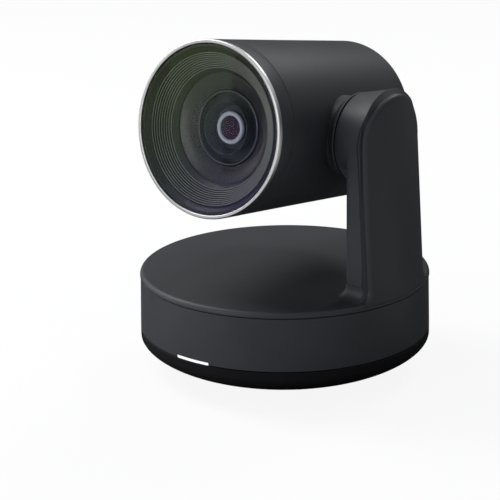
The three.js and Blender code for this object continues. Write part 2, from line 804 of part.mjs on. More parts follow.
function turntableCover() {
  const low = panSeamHeight + seamGap / 2;
  const edge = arcPoints(
    discRadius - discEdgeRadius, discTopHeight - discEdgeRadius, discEdgeRadius, 0, 90, 3,
  );
  const plate = turned([
    [0, discUnder], [discRadius - wall, discUnder], [discRadius - wall, low], [discRadius, low],
    ...edge, [0, discTopHeight],
  ], rimSides);
  const arm = meet(join(armFoot(), armOuterCover(0)), armOutside(0));
  const hollow = meet(
    join(armWeb(wall, discUnder - overrun), armOuterCover(wall), armHub(wall)), armOutside(wall),
  );
  return cut(join(plate, arm), hollow);
}

// Frame: a plate under the disc and an upright in the arm, with the holes of shaft and motor
const frameGap = 5.7;
const frameRadius = baseTopRadius - wall - shellLip - frameGap;
const lighteningPlaceShare = 0.62;
const lighteningShare = 0.2;
const uprightHalf = 16;
const uprightOver = 14.2;
const uprightCorner = 8;
const uprightTop = tiltAxisHeight + uprightOver;
const tiltDistance = (gearModule * (tiltTeeth + pinionTeeth)) / 2;
const tiltMotorHeight = tiltAxisHeight - tiltDistance;
const tiltPilot = 3.4;
const tiltMotorShaft = 1.5;
const tiltBushRadius = 8;
const tiltBushFlange = 10;
const tiltMotorGap = 3;
const tiltMotorRadius = tiltDistance - tiltBushFlange - tiltMotorGap;
const tiltBushLength = 4;
const motorLid = 1;
const pinionEndGap = 1.2;

// A tooth of the pan gear points at its pinion
function panGear() {
  return gear(panTeeth, spindleRadius + fitGap, gearLow, gearHigh, -Math.PI / 2);
}

function turntableFrame() {
  const plate = disc(frameRadius, frameLow, frameHigh, largeSides);
  const spindleHole = disc(spindleBore, 0, frameHigh + overrun, smallSides);
  const lightening = around(3, frameRadius * lighteningPlaceShare, 90, (x, y) => {
    return disc(frameRadius * lighteningShare, 0, frameHigh + overrun, smallSides).translate(x, y, 0);
  });
  const upright = roundedSlab(
    -uprightTop, -frameLow, -uprightHalf, uprightHalf, uprightX, uprightX + uprightThickness, uprightCorner,
  ).rotateY(Math.PI / 2);
  const bushHole = disc(tiltBushRadius + fitGap, 0, baseRadius, middleSides);
  const motorHole = disc(tiltPilot + fitGap, 0, baseRadius, smallSides);
  return cut(
    join(cut(plate, spindleHole, ...lightening), upright),
    alongX(bushHole).translate(0, 0, tiltAxisHeight),
    alongX(motorHole).translate(0, 0, tiltMotorHeight),
  );
}

function panSpindle() {
  return ring(spindleBore, spindleRadius, deckLow - wall, frameLow - fitGap, middleSides);
}

function spindleClip() {
  const low = deckLow - wall + fitGap;
  return ring(spindleRadius + fitGap, bushRadius, low, deckLow - fitGap, middleSides);
}

function tiltBush() {
  const low = uprightX;
  const flange = uprightX + uprightThickness + fitGap;
  const bush = turned([
    [shaftRadius + fitGap, low], [tiltBushRadius, low], [tiltBushRadius, flange],
    [tiltBushFlange, flange], [tiltBushFlange, flange + tiltBushLength / 4],
    [tiltBushRadius, flange + tiltBushLength / 4], [tiltBushRadius, low + tiltBushLength],
    [shaftRadius + fitGap, low + tiltBushLength],
  ], smallSides);
  return alongX(bush).translate(0, 0, tiltAxisHeight);
}

function tiltMotor() {
  const low = tiltMotorX;
  const bore = tiltMotorShaft + fitGap;
  const motor = turned([
    [bore, uprightX], [tiltPilot, uprightX], [tiltPilot, low], [tiltMotorRadius, low],
    [tiltMotorRadius, low + tiltMotorLength], [0, low + tiltMotorLength],
    [0, low + tiltMotorLength - motorLid], [bore, low + tiltMotorLength - motorLid],
  ], middleSides);
  return alongX(motor).translate(0, 0, tiltMotorHeight);
}

function tiltPinion() {
  const high = uprightX + uprightThickness + tiltMotorLength - pinionEndGap;
  const pinion = join(
    gear(pinionTeeth, tiltMotorShaft * pinionBoreShare, tiltGearLow, tiltGearHigh, Math.PI / pinionTeeth),
    disc(tiltMotorShaft, tiltGearLow, high, tinySides),
  );
  return alongX(pinion).translate(0, 0, tiltMotorHeight);
}

// Head: drawn with its tilt axis at the origin, then set at the pitch of the photographed pose.
// Depths run from the front edge of the barrel along the lens axis.
const capMargin = 2.7;
const capThickness = 1.4;
const capLip = 2;
const capPostShare = 0.8;
const capRadius = headRearRadius - headRearEdge - capMargin;
const shellFront = collarWidth + seamGap / 2;

// The boss that meets the hub of the arm
const bossGap = 0.6;
const bossInset = 0.2;
const bossSink = 13.8;
const bossFlare = 2.7;
const bossPocketDepth = 3.4;
const bossPocketWall = 5.2;
const bossX = hubX - bossGap;
const bossRadius = hubRadius - bossInset;
const bossLow = headOffset + headRadius - bossSink;
const bossPocket = bossRadius - bossPocketWall;
const bossPocketX = bossX - bossPocketDepth;

// Front: the silver ring, the window and the stepped shade behind it
const bezelWidth = 1.9;
const bezelDepth = 2.1;
const bezelEdge = 0.5;
const windowFront = 0.4;
const windowThickness = 1;
const baffleLand = 1.3;
const shadeLead = { across: 3, along: 1.7 };
const shadeSize = { across: 7.4, along: 6 };
const baffleLip = { across: 2.6, along: 2.8, thick: 0.8 };
const baffleBackGap = 1.1;
const baffleFlange = 3;
const baffleSteps = 5;
const bezelInner = collarRadius - bezelWidth;
const windowRadius = bezelInner - fitGap;
const baffleFront = windowFront + windowThickness + fitGap;
const baffleOpening = windowRadius - baffleLand;
const baffleStepStart = {
  radius: baffleOpening - shadeLead.across,
  depth: baffleFront + shadeLead.along,
};
const baffleRim = {
  radius: baffleStepStart.radius - shadeSize.across,
  depth: baffleStepStart.depth + shadeSize.along,
};
const baffleBack = baffleRim.depth + baffleBackGap;
const lipRadius = baffleRim.radius - baffleLip.across;
const lipDepth = baffleRim.depth + baffleLip.along;

// The lens: its cone, the ring that holds the front glass, and the glasses and barrel behind
const coneSize = { across: 8.2, along: 4 };
const coneWall = 1.4;
const coneFlangeGap = 1.1;
const chassisRoom = 0.7;
const ringWidth = 1.2;
const ringDepth = 2.2;
const ringChamfer = 0.4;
const domeRise = 3.1;
const domeSide = 10.6;
const domeHollow = 12.4;
const lensShoulder = 1.8;
const lensFit = 0.4;
const barrelWall = 2.8;
const coneFront = { radius: lipRadius - fitGap, depth: lipDepth + baffleLip.thick + fitGap };
const coneBack = {
  radius: coneFront.radius - coneSize.across,
  depth: coneFront.depth + coneSize.along,
};
const coneFlange = headRadius - 2 * wall - fitGap - coneFlangeGap;
const domeRadius = coneBack.radius - 2 * fitGap - ringWidth;
const domeEdge = coneBack.depth + coneWall;
const domeShoulder = domeEdge - domeSide;
const domeApex = domeShoulder - domeRise;
const lensEdgeRadius = domeRadius + lensShoulder;
const barrelInner = lensEdgeRadius + lensFit;
const barrelOuter = barrelInner + barrelWall;
const barrelFront = domeEdge + lensFit;
const spacerThickness = 2.8;
const spacerTube = { inner: 10.7, outer: 11.7, length: 6.2 };
const secondRadius = 7.9;
const secondGlass = { sag: secondRadius, edge: 4, backSag: 0.6 };
const spacerFront = domeEdge + wall + fitGap;
const spacerBack = spacerFront + spacerThickness;
const secondApex = spacerBack - secondGlass.edge - secondGlass.sag;
const secondBack = spacerBack + secondGlass.backSag;
const irisInner = 4.4;
const irisOuter = 7.7;
const irisPlace = secondBack + 2 * fitGap;

// The zoom and focus carriages on their two rods, and the sensor behind them
const rodInset = 2.8;
const rodRadius = 1;
const carriageGap = 5.2;
const carriageEar = 2;
const carriageRoom = { before: 5.2, between: 14, after: 12 };
const glassSetback = 0.5;
const zoomSize = { length: 8, wall: 4, sag: 1.5, edge: 3, backSag: 1.5 };
const focusSize = { length: 6, wall: 6, sag: 1, edge: 2.5, backSag: 1 };
const rodPlace = barrelInner - rodInset;
const carriageOuter = barrelInner - carriageGap;
const zoomPlace = irisPlace + wall + carriageRoom.before;
const focusPlace = zoomPlace + zoomSize.length + carriageRoom.between;
const barrelBack = focusPlace + focusSize.length + carriageRoom.after;
const barrelHole = 8;
const mountWall = 4;
const mountThickness = 3.4;
const sensorBoardHalf = 18;
const sensorBoardThickness = 1.2;
const sensorHalf = { across: 7, along: 5.5 };
const sensorRise = 1.6;
const mountBack = barrelBack + fitGap + mountThickness;
const headBoardInset = 25;
const headBoardGap = 0.4;
const headBoardPlace = headLength - headBoardInset;

// The tilt shaft, seated in the boss, and its clip behind the bush
const shaftReach = 2.5;
const shaftFlangeGap = 3;
const shaftFlangeThickness = 2;
const shaftEnd = 0.4;
const clipWidth = 2.2;
const clipThickness = 1.1;
const clipLow = uprightX + tiltBushLength + fitGap;
const clipHigh = clipLow + clipThickness;
const tiltAtRest = THREE.MathUtils.degToRad(tiltAtRestDegrees);

function onLensAxis(geometry) {
  return alongY(geometry).translate(headOffset, -headFront, 0);
}

function barrelAt(depth) {
  const share = (depth - shellFront) / (headLength - headRearEdge - shellFront);
  return headRadius + (headRearRadius - headRadius) * share;
}

function headShell() {
  const back = headLength - headRearEdge;
  const edge = arcPoints(headRearRadius - headRearEdge, back, headRearEdge, 0, 90, 4);
  const seat = headLength - capThickness - fitGap;
  const outline = [
    [0, shellFront], [headRadius, shellFront], ...edge, [0, headLength],
  ];
  const inside = [
    [0, shellFront - overrun], [headRadius - wall, shellFront - overrun], [headRadius - wall, shellFront],
    [barrelAt(back) - wall, back], [barrelAt(back) - wall - wall, seat - capLip], [0, seat - capLip],
  ];
  const capSeat = join(
    disc(capRadius + fitGap, seat, headLength + overrun, middleSides),
    disc(capRadius - capLip, seat - 2 * capLip, headLength, middleSides),
  );
  const boss = turned([
    [0, bossLow], [bossRadius - bossFlare, bossLow],
    [bossRadius - bossFlare, headOffset + headRadius],
    [bossRadius, bossX - hubEdge], [bossRadius - hubEdge, bossX], [0, bossX],
  ], middleSides);
  const pocket = disc(bossPocket, bossPocketX, bossX + overrun, middleSides);
  const bore = disc(shaftRadius + fitGap, 0, bossX, smallSides);
  return cut(
    join(onLensAxis(turned(outline, largeSides)), alongX(boss)),
    onLensAxis(turned(inside, largeSides)), onLensAxis(capSeat), alongX(pocket), alongX(bore),
  );
}

function rearCap() {
  const board = headBoardPlace + boardThickness + headBoardGap;
  const low = headLength - capThickness;
  const posts = around(4, capRadius * capPostShare, postAngle, (x, y) => {
    return disc(wall, board, low + capThickness / 2, tinySides).translate(x, y, 0);
  });
  return onLensAxis(join(disc(capRadius, low, headLength, middleSides), ...posts));
}

function frontCollar() {
  const front = bezelDepth + fitGap;
  const spigot = headRadius - wall - fitGap;
  return onLensAxis(turned([
    [bezelInner, front], [collarRadius, front], [headRadius, collarWidth - seamGap / 2],
    [spigot, collarWidth - seamGap / 2], [spigot, collarWidth + 2 * wall],
    [spigot - wall, collarWidth + 2 * wall], [spigot - wall, baffleBack + fitGap], [bezelInner, baffleBack + fitGap],
  ], largeSides));
}

const bezelRing = () => onLensAxis(turned([
  [bezelInner + bezelEdge, 0], [collarRadius - bezelEdge, 0], [collarRadius, bezelEdge],
  [collarRadius, bezelDepth], [bezelInner, bezelDepth], [bezelInner, bezelEdge],
], rimSides));

function frontWindow() {
  return onLensAxis(disc(windowRadius, windowFront, windowFront + windowThickness, largeSides));
}

// The stepped shade behind the window: each step is a tread that faces front and a riser
function lensBaffle() {
  const run = (baffleStepStart.radius - baffleRim.radius) / baffleSteps;
  const rise = (baffleRim.depth - baffleStepStart.depth) / baffleSteps;
  const treadShare = 0.8;
  const riseShare = 0.15;
  const steps = Array.from({ length: baffleSteps }, (_, i) => {
    const radius = baffleStepStart.radius - run * i;
    const depth = baffleStepStart.depth + rise * i;
    return [[radius, depth], [radius - run * treadShare, depth + rise * riseShare]];
  }).flat();
  return onLensAxis(turned([
    [baffleOpening, baffleFront], ...steps, [baffleRim.radius, baffleRim.depth],
    [lipRadius, lipDepth], [lipRadius, lipDepth + baffleLip.thick],
    [baffleRim.radius, lipDepth + baffleLip.thick], [baffleRim.radius + baffleFlange, baffleBack],
    [windowRadius, baffleBack], [windowRadius, baffleFront],
  ], largeSides));
}

function lensCone() {
  const back = coneBack.depth + coneWall;
  return onLensAxis(turned([
    [coneFront.radius, coneFront.depth], [coneBack.radius, coneBack.depth], [coneBack.radius, back],
    [coneBack.radius + coneWall, back], [coneFront.radius + coneWall, coneFront.depth + coneWall],
    [coneFlange, coneFront.depth + coneWall], [coneFlange, coneFront.depth],
  ], largeSides));
}

function retainingRing() {
  return onLensAxis(softRing(
    domeRadius + fitGap, coneBack.radius - fitGap, domeEdge - ringDepth, domeEdge, ringChamfer, middleSides,
  ));
}

// A lens between two round faces, given by the depth of its front vertex and how far each face
// and the edge run on from there. The front face is a flat bow, or half a ball.
function lens(radius, front, glass, steps = 3, ball = false) {
  const frontRim = front + glass.sag;
  const backRim = frontRim + glass.edge;
  const bow = (share) => (ball ? 1 - Math.sqrt(1 - share ** 2) : share ** 2);
  const shares = Array.from({ length: steps + 1 }, (_, i) => {
    return ball ? Math.sin(((Math.PI / 2) * i) / steps) : i / steps;
  });
  const frontFace = shares.map((share) => [radius * share, front + glass.sag * bow(share)]);
  const backFace = shares.map((share) => [radius * share, backRim + glass.backSag * (1 - share ** 2)]);
  return onLensAxis(turned([...frontFace, ...backFace.reverse()], middleSides));
}

// The front glass is a hollow dome on a round shoulder that the cone holds down
function frontLens() {
  const steps = 4;
  const back = domeEdge + wall;
  const shares = Array.from({ length: steps + 1 }, (_, i) => i / steps);
  const dome = shares.map((share) => [domeRadius * share, domeApex + domeRise * share ** 2]);
  const hollow = shares.map((share) => [domeRadius * share, back - domeHollow * (1 - share ** 2)]);
  return onLensAxis(turned([
    ...dome, [domeRadius, domeEdge + fitGap], [lensEdgeRadius, domeEdge + fitGap],
    [lensEdgeRadius, back], ...hollow.reverse(),
  ], middleSides));
}

function lensBarrel() {
  const back = barrelBack - wall;
  return onLensAxis(turned([
    [barrelInner, barrelFront], [barrelOuter, barrelFront], [barrelOuter, barrelBack],
    [barrelHole, barrelBack], [barrelHole, back], [barrelInner, back],
  ], middleSides));
}

// The spacer carries the second lens and a short tube round it
function lensSpacer() {
  const inner = secondRadius + fitGap;
  const front = spacerFront - spacerTube.length;
  return onLensAxis(turned([
    [inner, spacerFront], [spacerTube.inner, spacerFront], [spacerTube.inner, front],
    [spacerTube.outer, front], [spacerTube.outer, spacerFront], [lensEdgeRadius, spacerFront],
    [lensEdgeRadius, spacerBack], [inner, spacerBack],
  ], middleSides));
}

const secondLens = () => lens(secondRadius, secondApex, secondGlass, 5, true);

function irisPlate() {
  return onLensAxis(turned([
    [irisOuter, irisPlace], [lensEdgeRadius, irisPlace], [lensEdgeRadius, irisPlace + wall],
    [irisInner, irisPlace + wall], [irisInner, irisPlace + wall / 2],
  ], middleSides));
}

function carriage(place, size) {
  const back = place + size.length;
  const root = carriageOuter - size.wall / 2;
  const eye = join(
    disc(carriageEar, place, back, tinySides).translate(0, rodPlace, 0),
    block(-carriageEar, carriageEar, root, rodPlace, place, back),
  );
  const eyes = [eye, eye.clone().rotateZ(Math.PI)];
  const holes = [-rodPlace, rodPlace].map((z) => {
    return disc(rodRadius + fitGap, place - overrun, back + overrun, tinySides).translate(0, z, 0);
  });
  const body = ring(carriageOuter - size.wall + fitGap, carriageOuter, place, back, middleSides);
  return onLensAxis(cut(join(body, ...eyes), ...holes));
}

const carriedLens = (place, size) => lens(carriageOuter - size.wall, place + glassSetback, size);

function guideRod(z) {
  const front = irisPlace + wall + fitGap;
  const rod = disc(rodRadius, front, barrelBack - wall - fitGap, tinySides);
  return onLensAxis(rod.translate(0, z, 0));
}

// The chassis plate stands behind the collar's spigot and the back of the cone
function lensChassis() {
  const front = Math.max(collarWidth + 2 * wall + fitGap, domeEdge - chassisRoom);
  const plate = ring(barrelOuter + fitGap, headRadius - wall - 2 * fitGap, front, front + wall, largeSides);
  const windows = around(4, (barrelOuter + headRadius) / 2, 0, (x, y) => {
    return disc(3 * wall, 0, front + overrun, tinySides).translate(x, y, 0);
  });
  return onLensAxis(cut(plate, ...windows));
}

function sensorMount() {
  return onLensAxis(ring(barrelHole + mountWall, barrelOuter, barrelBack + fitGap, mountBack, middleSides));
}

function infraredFilter() {
  return onLensAxis(disc(barrelHole - fitGap, barrelBack - wall + fitGap, barrelBack - fitGap));
}

function sensorBoard() {
  const front = mountBack + fitGap;
  const half = sensorBoardHalf;
  const chip = block(
    -sensorHalf.across, sensorHalf.across, -sensorHalf.along, sensorHalf.along,
    front - sensorRise, front + sensorBoardThickness / 2,
  );
  return onLensAxis(join(block(-half, half, -half, half, front, front + sensorBoardThickness), chip));
}

function headBoard() {
  return onLensAxis(disc(capRadius - capLip, headBoardPlace, headBoardPlace + boardThickness, middleSides));
}

function tiltShaft() {
  const low = bossPocketX - shaftReach;
  const flangeLow = bossPocketX + fitGap;
  const flangeHigh = flangeLow + shaftFlangeThickness;
  const flange = bossPocket - shaftFlangeGap;
  const high = clipHigh + shaftEnd;
  return alongX(turned([
    [shaftBore, low], [shaftRadius, low], [shaftRadius, flangeLow], [flange, flangeLow],
    [flange, flangeHigh], [shaftRadius, flangeHigh], [shaftRadius, high], [shaftBore, high],
  ], smallSides));
}

const tiltGear = () => alongX(
  gear(tiltTeeth, shaftRadius + fitGap, tiltGearLow, tiltGearHigh, tiltAtRest),
);

function shaftClip() {
  const inner = shaftRadius + fitGap;
  return alongX(ring(inner, inner + clipWidth, clipLow, clipHigh, smallSides));
}

part.add(
  mesh('foot_ring', footRing(), 'rubber'),
  mesh('bottom_shell', bottomShell(), 'black'),
  mesh('tripod_insert', tripodInsert(), 'brass'),
  ...baseScrews.map((geometry, i) => mesh(`base_screw_${i + 1}`, geometry, 'steel')),
  mesh('base_shell', baseShell(), 'charcoal'),
  mesh('status_light', statusLight(), 'lamp'),
  mesh('status_light_board', statusLightBoard(), 'board'),
  mesh('connector_panel', connectorPanel(), 'black'),
  mesh('power_jack', powerJack(), 'black'),
  mesh('usb_c_receptacle', usbReceptacle(), 'steel'),
  mesh('hdmi_receptacle', hdmiReceptacle(), 'steel'),
  mesh('pairing_button', pairingButton(), 'black'),
  mesh('pairing_switch', pairingSwitch(), 'steel'),
  mesh('lock_slot_plate', lockPlate(), 'steel'),
  mesh('port_board', portBoard(), 'board'),
  mesh('main_board', mainBoard(), 'board'),
  mesh('processor_heat_sink', processorSink(), 'aluminium'),
  mesh('pan_deck', deck(), 'aluminium'),
  mesh('pan_bush', panBush(), 'nylon'),
  mesh('pan_motor', panMotor(), 'steel'),
  mesh('pan_pinion', panPinion(), 'brass'),
);

const turntable = new THREE.Group();
turntable.add(
  mesh('turntable_cover', turntableCover(), 'charcoal'),
  mesh('arm_inner_cover', armInnerCover(), 'charcoal'),
  mesh('turntable_frame', turntableFrame(), 'steel'),
  mesh('pan_spindle', panSpindle(), 'steel'),
  mesh('spindle_clip', spindleClip(), 'steel'),
  mesh('pan_gear', panGear(), 'nylon'),
  mesh('tilt_bush', tiltBush(), 'nylon'),
  mesh('tilt_motor', tiltMotor(), 'steel'),
  mesh('tilt_pinion', tiltPinion(), 'brass'),
);
part.add(turntable);

const head = new THREE.Group();
head.position.set(0, 0, tiltAxisHeight);
head.rotation.x = -tiltAtRest;
head.add(
  mesh('head_shell', headShell(), 'charcoal'),
  mesh('rear_cap', rearCap(), 'charcoal'),
  mesh('front_collar', frontCollar(), 'charcoal'),
  mesh('bezel_ring', bezelRing(), 'silver'),
  mesh('front_window', frontWindow(), 'clear'),
  mesh('lens_baffle', lensBaffle(), 'black'),
  mesh('lens_cone', lensCone(), 'satinBlack'),
  mesh('lens_retaining_ring', retainingRing(), 'black'),
  mesh('front_lens', frontLens(), 'glass'),
  mesh('lens_spacer', lensSpacer(), 'black'),
  mesh('second_lens', secondLens(), 'glass'),
  mesh('iris_plate', irisPlate(), 'satinBlack'),
  mesh('lens_barrel', lensBarrel(), 'black'),
  mesh('lens_chassis', lensChassis(), 'aluminium'),
  mesh('guide_rod_upper', guideRod(rodPlace), 'steel'),
  mesh('guide_rod_lower', guideRod(-rodPlace), 'steel'),
  mesh('zoom_carriage', carriage(zoomPlace, zoomSize), 'black'),
  mesh('zoom_lens', carriedLens(zoomPlace, zoomSize), 'glass'),
  mesh('focus_carriage', carriage(focusPlace, focusSize), 'black'),
  mesh('focus_lens', carriedLens(focusPlace, focusSize), 'glass'),
  mesh('infrared_filter', infraredFilter(), 'glass'),
  mesh('sensor_mount', sensorMount(), 'aluminium'),
  mesh('sensor_board', sensorBoard(), 'board'),
  mesh('head_board', headBoard(), 'board'),
  mesh('tilt_shaft', tiltShaft(), 'steel'),
  mesh('tilt_gear', tiltGear(), 'nylon'),
  mesh('shaft_clip', shaftClip(), 'steel'),
);
part.add(head);

export default part;
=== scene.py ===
# A desktop pan and tilt camera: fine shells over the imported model, their finishes, a plain
# studio and the camera of the reference view. Lengths are written in millimetres times mm.
import json
import math

import bmesh
import bpy
from mathutils import Matrix, Vector


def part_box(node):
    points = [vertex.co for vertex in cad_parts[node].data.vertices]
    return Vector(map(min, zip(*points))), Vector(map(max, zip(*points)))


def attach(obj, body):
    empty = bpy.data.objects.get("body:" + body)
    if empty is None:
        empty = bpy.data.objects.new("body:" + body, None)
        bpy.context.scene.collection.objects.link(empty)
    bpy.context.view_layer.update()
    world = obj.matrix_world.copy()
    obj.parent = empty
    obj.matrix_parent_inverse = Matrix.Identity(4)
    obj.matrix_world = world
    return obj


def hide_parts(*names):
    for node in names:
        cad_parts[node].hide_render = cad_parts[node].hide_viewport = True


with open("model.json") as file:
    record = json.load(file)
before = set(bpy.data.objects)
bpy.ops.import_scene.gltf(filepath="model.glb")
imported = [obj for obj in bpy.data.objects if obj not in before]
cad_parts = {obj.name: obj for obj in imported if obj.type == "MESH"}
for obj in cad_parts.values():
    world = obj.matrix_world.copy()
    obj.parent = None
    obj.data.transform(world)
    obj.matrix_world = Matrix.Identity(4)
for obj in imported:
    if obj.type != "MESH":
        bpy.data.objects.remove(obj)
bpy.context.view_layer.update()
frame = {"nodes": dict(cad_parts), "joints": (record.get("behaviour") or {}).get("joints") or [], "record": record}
nodes = frame["nodes"]
joints = {joint["name"]: joint for joint in frame["joints"]}

mm = 0.001
ROUND_SIDES = 192
WALL_SIDES = 256
HUB_SIDES = 128
FINE_ANGLE = math.radians(28)
STEP_ANGLE = math.radians(30)
BOWL_ANGLE = math.radians(35)
GLASS_ANGLE = math.radians(50)
BEZEL_ANGLE = math.radians(60)
BUMP_STRENGTH = 0.35
DRIFT_TO_GRAIN = 40
COAT_ROUGHNESS = 0.05
COAT_BLEND = 0.35
TINY = 1e-9
MERGE_DISTANCE = 0.0005 * mm
QUARTER = math.pi / 2
FULL_TURN = 2 * math.pi

# Sizes that the shells share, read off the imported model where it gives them
BASE_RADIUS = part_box("base_shell")[1][0]
LOWER_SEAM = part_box("base_shell")[0][2]
BASE_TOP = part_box("base_shell")[1][2]
TILT_AXIS = Vector(joints["tilt"]["pos_m"])
LENS_BACK = Vector(joints["zoom"]["axis"])
TILT_AT_REST = math.atan2(-LENS_BACK.z, LENS_BACK.y)
BASE_TOP_RADIUS = 75.4 * mm
WALL = 2.2 * mm
SEAM_GAP = 0.4 * mm
DISC_TOP = 52.4 * mm
DISC_RADIUS = 75.7 * mm
DISC_EDGE = 2.3 * mm
HEAD_OFFSET = -2 * mm
HEAD_FRONT = 61 * mm
HEAD_LENGTH = 123 * mm
HEAD_RADIUS = 43.8 * mm
HEAD_REAR_RADIUS = 41 * mm
HEAD_REAR_EDGE = 5.3 * mm
COLLAR_RADIUS = 44.1 * mm
COLLAR_WIDTH = 12.5 * mm


# Mesh helpers
def make_object(name, mesh, material):
    """Puts a mesh in the scene with one material."""
    made = bpy.data.objects.new(name, mesh)
    bpy.context.scene.collection.objects.link(made)
    mesh.materials.append(material)
    return made


def finish_mesh(bm, name, angle=FINE_ANGLE):
    """Joins equal points, turns the faces outwards and shades them smooth up to an angle."""
    bmesh.ops.remove_doubles(bm, verts=bm.verts, dist=MERGE_DISTANCE)
    bmesh.ops.recalc_face_normals(bm, faces=bm.faces)
    mesh = bpy.data.meshes.new(name)
    bm.to_mesh(mesh)
    bm.free()
    for polygon in mesh.polygons:
        polygon.use_smooth = True
    mesh.set_sharp_from_angle(angle=angle)
    return mesh


def rounded(outline, radii, steps=5):
    """Replaces the corners of a closed [radius, height] outline by arcs, one radius a corner."""
    points = []
    count = len(outline)
    for i, corner in enumerate(outline):
        radius = radii.get(i, 0)
        if not radius:
            points.append(corner)
            continue
        here = Vector(corner)
        before = (Vector(outline[i - 1]) - here).normalized()
        after = (Vector(outline[(i + 1) % count]) - here).normalized()
        half = before.angle(after) / 2
        reach = radius / math.tan(half)
        centre = here + (before + after).normalized() * (radius / math.sin(half))
        start = here + before * reach - centre
        end = here + after * reach - centre
        turn = start.angle_signed(end)
        for k in range(steps + 1):
            point = centre + Matrix.Rotation(-turn * k / steps, 2) @ start
            points.append((point.x, point.y))
    return points


def turned_mesh(name, outline, place=None, sides=ROUND_SIDES, closed=True, angle=FINE_ANGLE):
    """Revolves a [radius, height] outline about Z and moves it by the place matrix."""
    bm = bmesh.new()
    rings = []
    for radius, height in outline:
        if radius < TINY:
            rings.append([bm.verts.new((0, 0, height))])
            continue
        rings.append([
            bm.verts.new((radius * math.cos(a), radius * math.sin(a), height))
            for a in (FULL_TURN * k / sides for k in range(sides))
        ])
    pairs = list(zip(rings, rings[1:]))
    if closed:
        pairs.append((rings[-1], rings[0]))
    for low, high in pairs:
        for k in range(sides):
            n = (k + 1) % sides
            corners = [low[k % len(low)], low[n % len(low)], high[n % len(high)], high[k % len(high)]]
            distinct = list(dict.fromkeys(corners))
            if len(distinct) > 2:
                bm.faces.new(distinct)
    if place is not None:
        bmesh.ops.transform(bm, matrix=place, verts=bm.verts)
    return finish_mesh(bm, name, angle)


def loft_mesh(name, rings):
    """Skins a row of rings that have as many points each, and closes both ends."""
    bm = bmesh.new()
    made = [[bm.verts.new(point) for point in ring] for ring in rings]
    for low, high in zip(made, made[1:]):
        count = len(low)
        for k in range(count):
            n = (k + 1) % count
            bm.faces.new((low[k], low[n], high[n], high[k]))
    bm.faces.new(list(reversed(made[0])))
    bm.faces.new(made[-1])
    return finish_mesh(bm, name)


def block_mesh(name, low, high):
    """A plain box between two corners."""
    bm = bmesh.new()
    bmesh.ops.create_cube(bm, size=1)
    size = Vector(high) - Vector(low)
    centre = (Vector(high) + Vector(low)) / 2
    place = Matrix.Translation(centre) @ Matrix.Diagonal((*size, 1))
    bmesh.ops.transform(bm, matrix=place, verts=bm.verts)
    return finish_mesh(bm, name)


def combine(mesh, others, operation, angle=FINE_ANGLE):
    """Applies one boolean after another to a mesh and shades the result evenly."""
    work = bpy.data.objects.new("work", mesh)
    bpy.context.scene.collection.objects.link(work)
    helpers = []
    for other in others:
        helper = bpy.data.objects.new("helper", other)
        bpy.context.scene.collection.objects.link(helper)
        helpers.append(helper)
        step = work.modifiers.new("step", "BOOLEAN")
        step.operation = operation
        step.solver = "EXACT"
        step.object = helper
    result = applied(work)
    for helper in (work, *helpers):
        bpy.data.objects.remove(helper)
    return evened(result, angle)


def evened(mesh, angle):
    """Sharp edges by angle, and normals that follow the large faces beside a cut."""
    mesh.set_sharp_from_angle(angle=angle)
    work = bpy.data.objects.new("work", mesh)
    bpy.context.scene.collection.objects.link(work)
    weights = work.modifiers.new("weights", "WEIGHTED_NORMAL")
    weights.keep_sharp = True
    weights.mode = "FACE_AREA"
    result = applied(work)
    bpy.data.objects.remove(work)
    return result


def applied(item):
    """A new mesh with the modifiers of an object applied."""
    bpy.context.view_layer.update()
    shown = item.evaluated_get(bpy.context.evaluated_depsgraph_get())
    return bpy.data.meshes.new_from_object(shown)


# Finishes
def tree_of(name):
    """A new material with its node tree and its main shader."""
    material = bpy.data.materials.new(name)
    material.use_nodes = True
    links = material.node_tree
    shader = links.nodes["Principled BSDF"]
    return material, links, shader


def add_node(links, kind, **values):
    """Adds a node and sets its sockets, or its own settings where no socket has the name."""
    made = links.nodes.new(kind)
    for key, value in values.items():
        if key in made.inputs:
            made.inputs[key].default_value = value
        else:
            setattr(made, key, value)
    return made


def grain(links, shader, scale, depth, low, high):
    """Fine bumps from one noise, and roughness that wanders with a slower one, which it returns."""
    where = add_node(links, "ShaderNodeTexCoord")
    fine = add_node(links, "ShaderNodeTexNoise", Scale=scale, Detail=3.0, Roughness=0.6)
    slow = add_node(links, "ShaderNodeTexNoise", Scale=scale / DRIFT_TO_GRAIN, Detail=2.0)
    spread = add_node(links, "ShaderNodeMapRange")
    bump = add_node(links, "ShaderNodeBump", Strength=BUMP_STRENGTH, Distance=depth)
    spread.inputs["To Min"].default_value = low
    spread.inputs["To Max"].default_value = high
    join = links.links.new
    join(where.outputs["Object"], fine.inputs["Vector"])
    join(where.outputs["Object"], slow.inputs["Vector"])
    join(fine.outputs["Fac"], bump.inputs["Height"])
    join(bump.outputs["Normal"], shader.inputs["Normal"])
    join(slow.outputs["Fac"], spread.inputs["Value"])
    join(spread.outputs["Result"], shader.inputs["Roughness"])
    return slow.outputs["Fac"]


def tint(links, shader, source, first, second):
    """Colour that drifts between two near values, so that no surface is one flat colour."""
    mix = add_node(links, "ShaderNodeMix", data_type="RGBA")
    for socket in mix.inputs:
        if socket.type == "RGBA" and socket.name == "A":
            socket.default_value = (*first, 1)
        if socket.type == "RGBA" and socket.name == "B":
            socket.default_value = (*second, 1)
    links.links.new(source, mix.inputs["Factor"])
    colour = [socket for socket in mix.outputs if socket.type == "RGBA"][0]
    links.links.new(colour, shader.inputs["Base Color"])


def moulded(name, first, second, low, high, scale=2600, depth=0.05 * mm, specular=0.5):
    """A plastic between two colours and two roughnesses, with a grain of some scale and depth."""
    material, links, shader = tree_of(name)
    shader.inputs["Specular IOR Level"].default_value = specular
    slow = grain(links, shader, scale, depth, low, high)
    tint(links, shader, slow, first, second)
    return material


